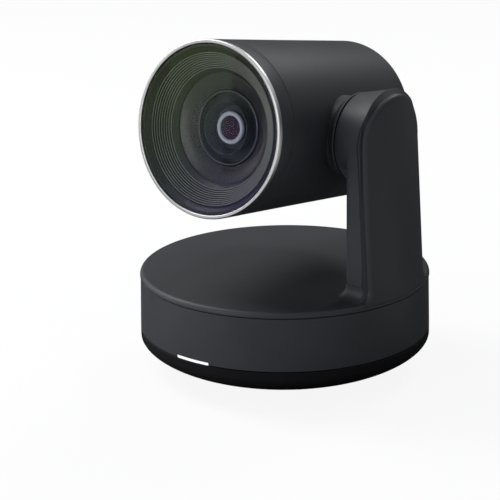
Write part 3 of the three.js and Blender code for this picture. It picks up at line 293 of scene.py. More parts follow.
def metal(name, first, second, low, high, scale=1800, depth=0.01 * mm):
    """A metal, drawn like the plastics but with a shallower grain."""
    material, links, shader = tree_of(name)
    shader.inputs["Metallic"].default_value = 1.0
    slow = grain(links, shader, scale, depth, low, high)
    tint(links, shader, slow, first, second)
    return material


def coated_glass_painted_tint(name, reflect_low, reflect_high, low_point, high_point, at_front, at_edge):
    """Clear glass with a coat whose reflection colour is painted to change from one side to the other, a painted
    reflection tint.
    """
    material, links, shader = tree_of(name)
    shader.inputs["Metallic"].default_value = 1.0
    shader.inputs["Roughness"].default_value = COAT_ROUGHNESS
    join = links.links.new
    where = add_node(links, "ShaderNodeTexCoord")
    along = Vector(high_point) - Vector(low_point)
    offset = add_node(links, "ShaderNodeVectorMath", operation="SUBTRACT")
    offset.inputs[1].default_value = low_point
    dot = add_node(links, "ShaderNodeVectorMath", operation="DOT_PRODUCT")
    dot.inputs[1].default_value = along / along.length_squared
    ramp = add_node(links, "ShaderNodeValToRGB")
    ramp.color_ramp.elements[0].color = (*reflect_low, 1)
    ramp.color_ramp.elements[1].color = (*reflect_high, 1)
    join(where.outputs["Object"], offset.inputs[0])
    join(offset.outputs[0], dot.inputs[0])
    join(dot.outputs["Value"], ramp.inputs["Fac"])
    join(ramp.outputs["Color"], shader.inputs["Base Color"])
    clear = add_node(links, "ShaderNodeBsdfTransparent")
    mix = add_node(links, "ShaderNodeMixShader")
    facing = add_node(links, "ShaderNodeLayerWeight", Blend=COAT_BLEND)
    amount = add_node(links, "ShaderNodeMapRange")
    amount.inputs["To Min"].default_value = at_front
    amount.inputs["To Max"].default_value = at_edge
    join(facing.outputs["Facing"], amount.inputs["Value"])
    join(amount.outputs["Result"], mix.inputs["Fac"])
    join(clear.outputs["BSDF"], mix.inputs[1])
    join(shader.outputs["BSDF"], mix.inputs[2])
    join(mix.outputs["Shader"], links.nodes["Material Output"].inputs["Surface"])
    return material


def glowing(name, colour, glow, strength):
    """A lit plastic window."""
    material, _, shader = tree_of(name)
    shader.inputs["Base Color"].default_value = colour
    shader.inputs["Roughness"].default_value = 0.35
    shader.inputs["Emission Color"].default_value = glow
    shader.inputs["Emission Strength"].default_value = strength
    return material


charcoal = moulded(
    "charcoal", (0.020, 0.022, 0.026), (0.025, 0.027, 0.031), 0.42, 0.52, specular=0.2,
)
bowl_black = moulded(
    "black", (0.005, 0.005, 0.006), (0.007, 0.007, 0.008), 0.44, 0.54, specular=0.05,
)
satin_black = moulded(
    "satin_black", (0.012, 0.010, 0.013), (0.017, 0.014, 0.018), 0.26, 0.34,
    depth=0, specular=0.3,
)
shade_black = moulded(
    "shade_black", (0.009, 0.009, 0.011), (0.012, 0.012, 0.014), 0.34, 0.42,
    depth=0, specular=0.3,
)
rubber = moulded(
    "rubber", (0.010, 0.010, 0.010), (0.016, 0.016, 0.016), 0.75, 0.9, depth=0.1 * mm,
)
silver = metal("silver", (0.35, 0.35, 0.35), (0.41, 0.41, 0.41), 0.32, 0.40)
steel = metal("steel", (0.45, 0.46, 0.48), (0.55, 0.56, 0.58), 0.30, 0.42)
aluminium = metal("aluminium", (0.60, 0.61, 0.63), (0.70, 0.71, 0.73), 0.38, 0.50)
brass = metal("brass", (0.58, 0.42, 0.18), (0.66, 0.50, 0.24), 0.28, 0.40)
ring_metal = metal("ring_metal", (0.06, 0.06, 0.07), (0.08, 0.08, 0.09), 0.26, 0.36)
tube_black = moulded(
    "tube_black", (0.010, 0.013, 0.026), (0.014, 0.018, 0.034), 0.24, 0.34, depth=0,
)
board_green = moulded(
    "board", (0.010, 0.060, 0.030), (0.016, 0.085, 0.045), 0.30, 0.40, scale=900,
)
nylon = moulded("nylon", (0.62, 0.60, 0.54), (0.70, 0.68, 0.62), 0.40, 0.50, scale=1500)
# Painted reflection: the window's reflection tint runs from violet blue low to a brighter green at the upper left,
# which stands in for a lamp's reflection.
window_coat = coated_glass_painted_tint(
    "clear_glass", (0.045, 0.042, 0.120), (0.095, 0.135, 0.060),
    (15 * mm, 0, 100 * mm), (-32 * mm, 0, 150 * mm), 0.12, 0.30,
)
# Painted reflection: the front lens's reflection tint runs from blue at the left to dark red at the upper right.
lens_coat = coated_glass_painted_tint(
    "lens_glass", (0.020, 0.035, 0.100), (0.060, 0.030, 0.055),
    (-20 * mm, 0, 115 * mm), (15 * mm, 0, 145 * mm), 0.06, 0.12,
)
pupil_glass = moulded(
    "pupil_glass", (0.022, 0.012, 0.026), (0.034, 0.014, 0.032), 0.40, 0.50,
    depth=0, specular=0,
)
# Painted reflection: the pale rim around the second lens stands in for the ring of light that the lens reflects.
rim_painted_reflection = moulded(
    "rim_painted_reflection", (0.56, 0.62, 0.76), (0.66, 0.72, 0.86), 0.16, 0.24, depth=0,
)
# Painted highlight: the light grey of the baffle noses stands in for light caught along the ridges.
nose_painted_highlight = moulded(
    "nose_painted_highlight", (0.18, 0.19, 0.17), (0.22, 0.23, 0.21), 0.36, 0.44, depth=0,
)
lamp = glowing("lamp", (0.55, 0.58, 0.62, 1), (0.92, 0.96, 1.0, 1), 0.4)

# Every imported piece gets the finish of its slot, also where it can't be seen
slot_finish = {
    "charcoal": charcoal, "black": bowl_black, "satin_black": satin_black, "rubber": rubber,
    "silver": silver, "steel": steel, "aluminium": aluminium, "brass": brass,
    "clear_glass": window_coat, "lens_glass": lens_coat, "board": board_green, "nylon": nylon,
    "lamp": lamp,
}
for entry in frame["record"]["subparts"]:
    item = nodes[entry["node"]]
    item.data.materials.clear()
    item.data.materials.append(slot_finish[entry["material_slot"]])


def show(name, mesh, material, body, *replaced, slot=None):
    """Adds a piece that rides a body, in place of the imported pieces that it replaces."""
    piece = make_object(name, mesh, material)
    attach(piece, body)
    if replaced:
        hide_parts(*replaced)


# Base: the bowl, the wall with its light slot and port window, and the foot
BOWL_HEIGHT = 17.4 * mm
BOWL_FOOT_RADIUS = 22.6 * mm
BOWL_POWER = 1.74
FOOT_INNER = 33 * mm
FOOT_OUTER = 41 * mm
FOOT_PROUD = 1.6 * mm
LIGHT_LOW, LIGHT_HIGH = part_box("status_light")
PORT_LOW, PORT_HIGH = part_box("connector_panel")
CUT_GAP = 0.3 * mm
LIGHT_GAP = 0.2 * mm
POST_PLACE = 46 * mm
POST_COUNT = 4
SCREW_HOLE = 3.1 * mm
SEAT_DEPTH = 1.4 * mm
RIM_LIP = 1.5 * mm
WALL_EDGE = 0.35 * mm
BOWL_EDGE = 0.3 * mm
PORT_CORNER = 3.3 * mm
FOOT_TOP = FOOT_PROUD + 1.1 * mm
FOOT_EDGE = 0.6 * mm
LIGHT_WALL = 1.6 * mm
LIGHT_SET_BACK = 0.12 * mm
LIGHT_REACH = 0.1 * mm


def bowl_outline():
    """Foot seat, bowl curve, rim and inside of the bottom shell."""
    spread = BASE_RADIUS - BOWL_FOOT_RADIUS
    steps = 28
    curve = []
    for k in range(steps + 1):
        a = QUARTER * k / steps
        radius = BOWL_FOOT_RADIUS + spread * math.cos(a) ** (2 / BOWL_POWER)
        height = BOWL_HEIGHT * (1 - math.sin(a) ** (2 / BOWL_POWER))
        if radius > FOOT_OUTER + SEAM_GAP and height > FOOT_PROUD:
            curve.append((radius, height))
    curve.reverse()
    rim = LOWER_SEAM - SEAM_GAP
    seat = FOOT_PROUD + SEAT_DEPTH
    floor = FOOT_PROUD + 2 * WALL
    inner = FOOT_INNER - CUT_GAP
    outer = FOOT_OUTER + CUT_GAP
    return [
        (0, FOOT_PROUD), (inner, FOOT_PROUD), (inner, seat), (outer, seat), (outer, FOOT_PROUD),
        *curve, (BASE_RADIUS, rim - BOWL_EDGE), (BASE_RADIUS - BOWL_EDGE, rim),
        (BASE_RADIUS - WALL, rim), (BASE_RADIUS - WALL, BOWL_HEIGHT + WALL), (FOOT_OUTER, floor),
        (0, floor),
    ]


def rounded_box(name, low_x, high_x, low_y, high_y, low_z, high_z, radius, steps=8):
    """A box with corners rounded about Y, such as a port window."""
    corners = [(high_x, high_z, 0), (low_x, high_z, 90), (low_x, low_z, 180), (high_x, low_z, 270)]
    points = []
    for x, z, start in corners:
        centre_x = x - radius if x == high_x else x + radius
        centre_z = z - radius if z == high_z else z + radius
        for k in range(steps + 1):
            a = math.radians(start + 90 * k / steps)
            points.append((centre_x + radius * math.cos(a), centre_z + radius * math.sin(a)))
    rings = [[(x, y, z) for x, z in points] for y in (low_y, high_y)]
    return loft_mesh(name, rings)


def hole_mesh(radius, depth, place=None, sides=64):
    """A round cutter, drawn up from the origin of its place."""
    outline = [(0, 0), (radius, 0), (radius, depth), (0, depth)]
    return turned_mesh("hole", outline, place, sides, closed=False)


def build_bottom_shell():
    bowl = turned_mesh("bottom_shell_fine", bowl_outline(), angle=BOWL_ANGLE)
    holes = []
    for k in range(POST_COUNT):
        a = math.pi / 4 + QUARTER * k
        place = Matrix.Translation((POST_PLACE * math.cos(a), POST_PLACE * math.sin(a), 0))
        holes.append(hole_mesh(SCREW_HOLE, FOOT_PROUD + WALL, place, 32))
    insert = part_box("tripod_insert")
    holes.append(hole_mesh(insert[1][1] + CUT_GAP, 4 * WALL))
    shell = combine(bowl, holes, "DIFFERENCE")
    show("bottom_shell_fine", shell, bowl_black, "base", "bottom_shell", slot="black")


def build_base_shell():
    inside = BASE_TOP_RADIUS - WALL
    wall = rounded([
        (BASE_RADIUS - WALL, LOWER_SEAM), (BASE_RADIUS, LOWER_SEAM), (BASE_TOP_RADIUS, BASE_TOP),
        (inside - RIM_LIP, BASE_TOP), (inside - RIM_LIP, BASE_TOP - RIM_LIP),
        (inside, BASE_TOP - 2 * RIM_LIP),
    ], {1: WALL_EDGE, 2: WALL_EDGE}, steps=3)
    shell = turned_mesh("base_shell_fine", wall, sides=WALL_SIDES)
    slot = block_mesh(
        "slot", (LIGHT_LOW[0] - LIGHT_GAP, LIGHT_LOW[1] - WALL, LOWER_SEAM - WALL),
        (LIGHT_HIGH[0] + LIGHT_GAP, LIGHT_HIGH[1] + WALL, LIGHT_HIGH[2] + LIGHT_GAP),
    )
    window = rounded_box(
        "window", PORT_LOW[0] - CUT_GAP, PORT_HIGH[0] + CUT_GAP, PORT_LOW[1],
        BASE_RADIUS + WALL, PORT_LOW[2] - CUT_GAP, PORT_HIGH[2] + CUT_GAP, PORT_CORNER,
    )
    shell = combine(shell, [slot, window], "DIFFERENCE")
    show("base_shell_fine", shell, charcoal, "base", "base_shell", slot="charcoal")


def build_foot_ring():
    foot = rounded([
        (FOOT_INNER, 0), (FOOT_OUTER, 0), (FOOT_OUTER, FOOT_TOP), (FOOT_INNER, FOOT_TOP),
    ], {0: FOOT_EDGE, 1: FOOT_EDGE})
    mesh = turned_mesh("foot_ring_fine", foot)
    show("foot_ring_fine", mesh, rubber, "base", "foot_ring", slot="rubber")


# Turntable: disc and outer face of the arm in one skin, and the inner cover with its hub
KNEE_HEIGHT = 60 * mm
KNEE_LOW = 55.5 * mm
KNEE_LOW_RADIUS = 75.1 * mm
KNEE_RADIUS = 74.6 * mm
ARM_FOOT_RADIUS = 75.55 * mm
ARM_TOP_RADIUS = 69.1 * mm
ARM_TOP_HEIGHT = 156 * mm
ARM_SEAM_X = 66.9 * mm
ARM_SEAM_HALF = 26.6 * mm
ARM_FACE_HALF = 24.1 * mm
ARM_BEVEL = 2 * mm
FACE_INSET = 2.5 * mm
ARM_EDGE = 1.8 * mm
ARM_LEAN = 0.0286
WEB_X = 54 * mm
WEB_CORNER = 4 * mm
HUB_X = 47 * mm
HUB_RADIUS = 22.4 * mm
HUB_EDGE = 0.7 * mm
FLARE = 6 * mm
FLARE_STEPS = 10
FLARE_POWER = 1.6
INNER_LOW = 60 * mm
DISC_RIM = 0.3 * mm
SHAFT_BORE = 7.7 * mm
ROUND_STEPS = 10
# Steps of the bevel beside the seam, as way along X and inset of the outline
BEVEL = (
    (0, 0.3 * mm), (0.12 * mm, 0.12 * mm), (0.4 * mm, 0.4 * mm), (1.2 * mm, 1.5 * mm),
    (ARM_BEVEL, FACE_INSET),
)
BEVEL_ROOM = 0.02 * mm
ALONG_X = Matrix.Translation((0, 0, TILT_AXIS.z)) @ Matrix.Rotation(QUARTER, 4, "Y")


def hub_at(x):
    """The radius of the hub's cone at some x."""
    return HUB_RADIUS + (ARM_SEAM_HALF - HUB_RADIUS) * (x - HUB_X) / (ARM_SEAM_X - HUB_X)


def arch_outline(half, levels, flared=False, steps=56):
    """The outline of the arm seen along X: straight sides and a half circle over the axis."""
    def side(z):
        return half + (flare_at(z) if flared else 0)
    over = [
        (half * math.cos(math.pi * k / steps), TILT_AXIS.z + half * math.sin(math.pi * k / steps))
        for k in range(steps + 1)
    ]
    front = [(side(z), z) for z in levels]
    return [*front, *over, *((-y, z) for y, z in reversed(front))]


def arch(x, half, low, lean=0.0):
    """An arch outline set at some x, leaning in above the knee."""
    return [(x - lean * (z - KNEE_HEIGHT), y, z) for y, z in arch_outline(half, [low])]


def flare_at(z):
    """How far the foot of the arm spreads at some height above the disc."""
    rise = min(max(DISC_TOP + FLARE - z, 0), FLARE)
    return FLARE - math.sqrt(FLARE ** 2 - rise ** 2)


def flare_levels():
    """Heights through the flare, closest together at the disc."""
    shares = [(k / FLARE_STEPS) ** FLARE_POWER for k in range(FLARE_STEPS + 1)]
    return [DISC_TOP - WALL / 2] + [DISC_TOP + FLARE * share for share in shares]


def outer_face(y, z, inset=0.0):
    """The x of the round outer face of the arm, which follows the disc and leans in above it."""
    radii = (
        (DISC_TOP, ARM_FOOT_RADIUS), (KNEE_LOW, KNEE_LOW_RADIUS), (KNEE_HEIGHT, KNEE_RADIUS),
        (ARM_TOP_HEIGHT, ARM_TOP_RADIUS),
    )
    radius = ARM_FOOT_RADIUS
    for (low, first), (high, second) in zip(radii, radii[1:]):
        if z > low:
            radius = first + (second - first) * (z - low) / (high - low)
    return math.sqrt((radius - inset) ** 2 - y ** 2)


def outer_cover_mesh():
    """From the leaning seam over a bevel to the side wall, a soft edge and the outer face."""
    levels = [*flare_levels(), INNER_LOW, (INNER_LOW + TILT_AXIS.z) / 2]
    rings = []
    for i, (along, inset) in enumerate(BEVEL):
        start = ARM_SEAM_X + SEAM_GAP / 2 + along
        room = BEVEL_ROOM * (len(BEVEL) - i)
        ring = []
        for y, z in arch_outline(ARM_SEAM_HALF - inset, levels, True):
            leaning = start - ARM_LEAN * (z - KNEE_HEIGHT)
            ring.append((min(leaning, outer_face(y, z, ARM_EDGE) - room), y, z))
        rings.append(ring)
    steps = 6
    for k in range(steps + 1):
        a = QUARTER * k / steps
        outline = arch_outline(ARM_FACE_HALF - ARM_EDGE * (1 - math.cos(a)), levels, True)
        inset = ARM_EDGE * (1 - math.sin(a))
        rings.append([(outer_face(y, z, inset), y, z) for y, z in outline])
    for k in range(1, ROUND_STEPS + 1):
        share = 1 - k / (ROUND_STEPS + 0.1)
        outline = arch_outline((ARM_FACE_HALF - ARM_EDGE) * share, levels, False)
        flares = [flare_at(z) * share for y, z in outline]
        rings.append([
            (outer_face(abs(y) + more, z), math.copysign(abs(y) + more, y), z)
            for (y, z), more in zip(outline, flares)
        ])
    return loft_mesh("outer", rings)


def foot_mesh():
    """The foot under the inner cover, flared into the disc."""
    inner_x = WEB_X + WEB_CORNER
    inner_half = hub_at(inner_x) - WEB_CORNER
    rings = []
    for z in (*flare_levels(), INNER_LOW - SEAM_GAP / 2):
        flare = flare_at(z)
        radius = WEB_CORNER + flare
        upper = [(ARM_SEAM_X + SEAM_GAP, ARM_SEAM_HALF + flare - SEAM_GAP, z)]
        for k in range(ROUND_STEPS + 1):
            a = QUARTER * k / ROUND_STEPS
            upper.append((inner_x - radius * math.sin(a), inner_half + radius * math.cos(a), z))
        rings.append(upper + [(x, -y, height) for x, y, height in reversed(upper)])
    return loft_mesh("foot", rings)


def build_turntable_cover():
    low = BASE_TOP + SEAM_GAP
    under = DISC_TOP - WALL
    plate = turned_mesh("plate", rounded([
        (0, under), (DISC_RADIUS - WALL, under), (DISC_RADIUS - WALL, low), (DISC_RADIUS, low),
        (DISC_RADIUS, DISC_TOP), (0, DISC_TOP),
    ], {3: DISC_RIM, 4: DISC_EDGE}, steps=8), sides=WALL_SIDES, closed=False)
    cover = combine(plate, [outer_cover_mesh(), foot_mesh()], "UNION")
    show("turntable_cover_fine", cover, charcoal, "turntable", "turntable_cover", slot="charcoal")


def build_inner_cover():
    """A web with rounded corners and the hub, cut off along the leaning seam and bored."""
    rings = []
    for k in range(ROUND_STEPS + 1):
        a = QUARTER * k / ROUND_STEPS
        x = WEB_X + WEB_CORNER * (1 - math.cos(a))
        rings.append(arch(x, hub_at(x) - WEB_CORNER * (1 - math.sin(a)), INNER_LOW))
    beyond = ARM_SEAM_X + WALL
    rings.append(arch(beyond, ARM_SEAM_HALF, INNER_LOW))
    web = loft_mesh("web", rings)
    hub = turned_mesh("hub", [
        (0, HUB_X), (HUB_RADIUS - HUB_EDGE, HUB_X), (HUB_RADIUS, HUB_X + HUB_EDGE),
        (ARM_SEAM_HALF, ARM_SEAM_X), (ARM_SEAM_HALF, beyond), (0, beyond),
    ], ALONG_X, HUB_SIDES, closed=False)
    wide = 2 * ARM_SEAM_HALF
    side = loft_mesh("side", [
        arch(0, wide, 0), arch(ARM_SEAM_X - SEAM_GAP / 2, wide, 0, ARM_LEAN),
    ])
    inner = combine(combine(web, [hub], "UNION"), [side], "INTERSECT")
    bore = hole_mesh(SHAFT_BORE, HUB_X + WALL, ALONG_X, 48)
    inner = combine(inner, [bore], "DIFFERENCE")
    show("arm_inner_cover_fine", inner, charcoal, "turntable", "arm_inner_cover", slot="charcoal")


# Head: everything is drawn along the lens, by radius and depth behind the front edge
LENS_PLACE = (
    Matrix.Translation(TILT_AXIS) @ Matrix.Rotation(-TILT_AT_REST, 4, "X")
    @ Matrix.Translation((HEAD_OFFSET, -HEAD_FRONT, 0)) @ Matrix.Rotation(-QUARTER, 4, "X")
)
BOSS_X = 46.4 * mm
BOSS_RADIUS = 22.2 * mm
BOSS_FLARE = 2.7 * mm
BEZEL_INNER = 42.2 * mm
BEZEL_DEPTH = 2.1 * mm
WINDOW_RADIUS = 41.9 * mm
BAFFLE_FRONT = 1.7 * mm
BAFFLE_OPENING = 40.6 * mm
BAFFLE_LEAD = (38.5 * mm, 4.2 * mm)
BAFFLE_START = (37.6 * mm, 3.4 * mm)
BAFFLE_RIM = (30.2 * mm, 9.4 * mm)
BAFFLE_BACK = 10.5 * mm
BAFFLE_STEPS = 8
LIP = (27.6 * mm, 12.2 * mm)
LIP_BACK = 13 * mm
CONE_FRONT = (27.3 * mm, 13.3 * mm)
CONE_BACK = (19.1 * mm, 17.3 * mm)
CONE_FLANGE = 38 * mm
CONE_WALL = 1.4 * mm
DOME_RADIUS = 17.3 * mm
DOME_EDGE = 18.7 * mm
DOME_SHOULDER = 8.1 * mm
DOME_APEX = 5 * mm
LENS_EDGE_RADIUS = 19.1 * mm
SPACER_FRONT = 21.2 * mm
SPACER_BACK = 24 * mm
TUBE_INNER = 10.7 * mm
TUBE_OUTER = 11.7 * mm
TUBE_FRONT = 15 * mm
SECOND_RADIUS = 7.9 * mm
TUBE_MOUTH = 13.4 * mm
PUPIL_RADIUS = 6.2 * mm
PUPIL_APEX = 17.8 * mm
PUPIL_RISE = 1.2 * mm
RIM_PLACE = (7.1 * mm, 19.4 * mm)
RIM_HALF = 1.2 * mm
IRIS_DEPTH = 25.2 * mm
IRIS_INNER = 4.4 * mm
IRIS_OUTER = 7.7 * mm
CAP_RADIUS = 33 * mm
CAP_GAP = 0.35 * mm
CAP_SEAT = 1.7 * mm
CAP_DEPTH = 1.4 * mm
REAR_WALL = 4 * mm
BOSS_ROOT_X = 30 * mm
BOSS_WELL_RADIUS = 17 * mm
BOSS_WELL_X = 43 * mm
SHAFT_HOLE_RADIUS = 5.3 * mm
SHAFT_HOLE_X = 38 * mm
COLLAR_PROUD = 0.05 * mm
WINDOW_FRONT = 0.4 * mm
WINDOW_BACK = 1.4 * mm
WINDOW_EDGE = 0.25 * mm
BORDER_FRONT = 1.45 * mm
BORDER_BACK = 1.6 * mm
BORDER_GAP = 0.1 * mm
NOSE = 0.16 * mm
NOSE_PROUD = 0.02 * mm
LENS_GAP = 0.3 * mm
RING_DEPTH = 2.2 * mm
HOLLOW_DEPTH = 12.4 * mm
SECOND_BULGE = 0.6 * mm
TUBE_BEVEL = 0.5 * mm
TUBE_EDGE = 0.15 * mm


def barrel_at(depth):
    """The radius of the tapered head shell at some depth."""
    front = COLLAR_WIDTH + SEAM_GAP / 2
    share = (depth - front) / (HEAD_LENGTH - HEAD_REAR_EDGE - front)
    return HEAD_RADIUS + (HEAD_REAR_RADIUS - HEAD_RADIUS) * share


def turned_on_lens(name, outline, material, *replaced, slot=None, closed=True, angle=FINE_ANGLE):
    """A piece of the head that is turned about the lens axis."""
    mesh = turned_mesh(name, outline, LENS_PLACE, ROUND_SIDES, closed, angle)
    show(name, mesh, material, "head", *replaced, slot=slot)


def build_head_shell():
    front = COLLAR_WIDTH + SEAM_GAP / 2
    back = HEAD_LENGTH - HEAD_REAR_EDGE
    seat = CAP_RADIUS + CAP_GAP
    seat_depth = HEAD_LENGTH - CAP_SEAT
    inner_depth = HEAD_LENGTH - REAR_WALL
    shell = rounded([
        (HEAD_RADIUS - WALL, front), (HEAD_RADIUS, front), (barrel_at(back / 2), back / 2),
        (HEAD_REAR_RADIUS, HEAD_LENGTH), (seat, HEAD_LENGTH), (seat, seat_depth),
        (CAP_RADIUS - WALL, seat_depth), (CAP_RADIUS - WALL, inner_depth),
        (HEAD_REAR_RADIUS - 3 * WALL, inner_depth), (HEAD_REAR_RADIUS - WALL, back - WALL),
    ], {1: 0.3 * mm, 3: HEAD_REAR_EDGE, 4: 0.25 * mm}, steps=10)
    turned_on_lens("head_shell_fine", shell, charcoal, "head_shell", slot="charcoal")


def build_tilt_boss():
    """The flared boss on the side of the head that faces the hub."""
    foot = BOSS_RADIUS - BOSS_FLARE
    boss = rounded([
        (0, BOSS_ROOT_X), (foot, BOSS_ROOT_X), (foot, HEAD_OFFSET + HEAD_RADIUS),
        (BOSS_RADIUS, BOSS_X - HUB_EDGE), (BOSS_RADIUS, BOSS_X), (BOSS_WELL_RADIUS, BOSS_X),
        (BOSS_WELL_RADIUS, BOSS_WELL_X), (SHAFT_HOLE_RADIUS, BOSS_WELL_X),
        (SHAFT_HOLE_RADIUS, SHAFT_HOLE_X), (0, SHAFT_HOLE_X),
    ], {3: 0.2 * mm, 4: 0.4 * mm, 5: 0.3 * mm})
    mesh = turned_mesh("tilt_boss", boss, ALONG_X, HUB_SIDES, closed=False)
    show("tilt_boss", mesh, charcoal, "head", slot="charcoal")


def build_collar_and_bezel():
    front = BEZEL_DEPTH + CUT_GAP / 3
    back = COLLAR_WIDTH - SEAM_GAP / 4
    tongue = COLLAR_WIDTH + 2 * WALL
    inner = HEAD_RADIUS - 2 * WALL
    collar = rounded([
        (BEZEL_INNER, front), (COLLAR_RADIUS, front), (HEAD_RADIUS + COLLAR_PROUD, back),
        (HEAD_RADIUS - WALL, back), (HEAD_RADIUS - WALL - CUT_GAP, tongue), (inner, tongue),
        (inner, COLLAR_WIDTH - WALL), (BEZEL_INNER, BAFFLE_BACK + CUT_GAP),
    ], {1: 0.2 * mm, 2: 0.2 * mm})
    turned_on_lens("front_collar_fine", collar, charcoal, "front_collar", slot="charcoal")
    bezel = rounded([
        (BEZEL_INNER, 0), (COLLAR_RADIUS, 0), (COLLAR_RADIUS, BEZEL_DEPTH),
        (BEZEL_INNER, BEZEL_DEPTH),
    ], {0: 0.5 * mm, 1: 0.8 * mm}, steps=6)
    turned_on_lens(
        "bezel_ring_fine", bezel, silver, "bezel_ring", slot="silver", angle=BEZEL_ANGLE,
    )


def build_rear_cap():
    front = HEAD_LENGTH - CAP_DEPTH
    cap = rounded([
        (0, front), (CAP_RADIUS, front), (CAP_RADIUS, HEAD_LENGTH), (0, HEAD_LENGTH),
    ], {2: 0.4 * mm})
    turned_on_lens("rear_cap_fine", cap, charcoal, "rear_cap", slot="charcoal", closed=False)


def build_window():
    """The flat coated window, and the black border behind its edge."""
    window = rounded([
        (0, WINDOW_FRONT), (WINDOW_RADIUS, WINDOW_FRONT), (WINDOW_RADIUS, WINDOW_BACK),
        (0, WINDOW_BACK),
    ], {1: WINDOW_EDGE, 2: WINDOW_EDGE})
    turned_on_lens(
        "front_window_fine", window, window_coat, "front_window", slot="clear_glass", closed=False,
    )
    inner = BAFFLE_OPENING + BORDER_GAP
    border = [
        (inner, BORDER_FRONT), (WINDOW_RADIUS, BORDER_FRONT), (WINDOW_RADIUS, BORDER_BACK),
        (inner, BORDER_BACK),
    ]
    turned_on_lens("window_border", border, satin_black, slot="satin_black")


def build_baffle():
    """A shade of fine treads and risers, with a narrow rounded nose on each tread, coloured light grey as a
    painted highlight.
    """
    run = (BAFFLE_START[0] - BAFFLE_RIM[0]) / BAFFLE_STEPS
    rise = (BAFFLE_RIM[1] - BAFFLE_START[1]) / BAFFLE_STEPS
    outline = [(BAFFLE_OPENING, BAFFLE_FRONT), BAFFLE_LEAD]
    for k in range(BAFFLE_STEPS):
        radius = BAFFLE_START[0] - run * k
        depth = BAFFLE_START[1] + rise * k
        outline += [
            (radius + NOSE, depth + 2 * NOSE), (radius, depth), (radius - 1.6 * NOSE, depth),
            (radius - run + 2.4 * NOSE, depth + rise * 0.9),
        ]
    outline += [
        (BAFFLE_RIM[0] + NOSE, BAFFLE_RIM[1] + NOSE), (BAFFLE_RIM[0], BAFFLE_RIM[1]),
        (BAFFLE_RIM[0] - 2 * NOSE, BAFFLE_RIM[1] + NOSE), LIP, (LIP[0], LIP_BACK),
        (BAFFLE_RIM[0], LIP_BACK), (BAFFLE_RIM[0] + 3 * mm, BAFFLE_BACK),
        (WINDOW_RADIUS, BAFFLE_BACK), (WINDOW_RADIUS, BAFFLE_FRONT),
    ]
    turned_on_lens(
        "lens_baffle_fine", outline, shade_black, "lens_baffle", slot="black", angle=STEP_ANGLE,
    )
    # Each tread's nose is a separate light grey piece, a painted highlight along the ridge.
    for k in range(BAFFLE_STEPS + 1):
        radius = BAFFLE_START[0] - run * k
        depth = BAFFLE_START[1] + rise * k
        edge = [
            (radius + NOSE, depth + 2 * NOSE - NOSE_PROUD),
            (radius + NOSE_PROUD, depth - NOSE_PROUD),
            (radius - 1.4 * NOSE, depth - NOSE_PROUD), (radius - 1.4 * NOSE, depth + NOSE),
        ]
        turned_on_lens(f"baffle_nose_{k + 1}", edge, nose_painted_highlight, slot="black", angle=STEP_ANGLE)


def bow(radius, vertex, rim, steps=24):
    """A curved face from its middle out, drawn as a flat bow."""
    shares = [k / steps for k in range(steps + 1)]
    return [(radius * k / steps, vertex + (rim - vertex) * shares[k] ** 2) for k in range(steps + 1)]


def build_cone_and_ring():
    front = CONE_FRONT[1] + CONE_WALL
    back = CONE_BACK[1] + CONE_WALL
    cone = rounded([
        CONE_FRONT, CONE_BACK, (CONE_BACK[0], back), (CONE_BACK[0] + CONE_WALL, back),
        (CONE_FRONT[0] + CONE_WALL, front), (CONE_FLANGE, front), (CONE_FLANGE, CONE_FRONT[1]),
    ], {1: 0.4 * mm})
    turned_on_lens("lens_cone_fine", cone, satin_black, "lens_cone", slot="satin_black")
    inner = DOME_RADIUS + LENS_GAP
    outer = CONE_BACK[0] - LENS_GAP
    ring_front = DOME_EDGE - RING_DEPTH
    ring = rounded([
        (inner, ring_front), (outer, ring_front), (outer, DOME_EDGE), (inner, DOME_EDGE),
    ], {0: 0.4 * mm, 1: 0.4 * mm})
    turned_on_lens(
        "lens_retaining_ring_fine", ring, ring_metal, "lens_retaining_ring", slot="black",
        angle=GLASS_ANGLE,
    )


def build_front_lens():
    back = DOME_EDGE + WALL
    flange = DOME_EDGE + LENS_GAP
    hollow = bow(DOME_RADIUS, back - HOLLOW_DEPTH, back)
    front = bow(DOME_RADIUS - LENS_GAP, DOME_APEX, DOME_SHOULDER - LENS_GAP / 2)
    glass = [
        *front, (DOME_RADIUS, DOME_SHOULDER + LENS_GAP), (DOME_RADIUS, flange),
        (LENS_EDGE_RADIUS, flange), (LENS_EDGE_RADIUS, back), *reversed(hollow),
    ]
    turned_on_lens(
        "front_lens_fine", glass, lens_coat, "front_lens", slot="lens_glass", closed=False,
        angle=GLASS_ANGLE,
    )


def build_second_lens():
    """The second lens as the front lens shows it: a dark shallow cap in a pale rim, whose pale colour is a painted
    reflection.
    """
    pupil = bow(PUPIL_RADIUS, PUPIL_APEX, PUPIL_APEX + PUPIL_RISE)
    cap = [
        *pupil, (RIM_PLACE[0], RIM_PLACE[1] + RIM_HALF), (SECOND_RADIUS, SPACER_BACK),
        (0, SPACER_BACK + SECOND_BULGE),
    ]
    turned_on_lens(
        "second_lens_fine", cap, pupil_glass, "second_lens", slot="lens_glass", closed=False,
        angle=GLASS_ANGLE,
    )
    # The pale rim is a painted reflection.
    steps = 24
    rim = [
        (RIM_PLACE[0] + RIM_HALF * math.cos(a), RIM_PLACE[1] + RIM_HALF * math.sin(a))
        for a in (FULL_TURN * k / steps for k in range(steps))
    ]
    turned_on_lens("second_lens_rim", rim, rim_painted_reflection, slot="lens_glass", angle=GLASS_ANGLE)


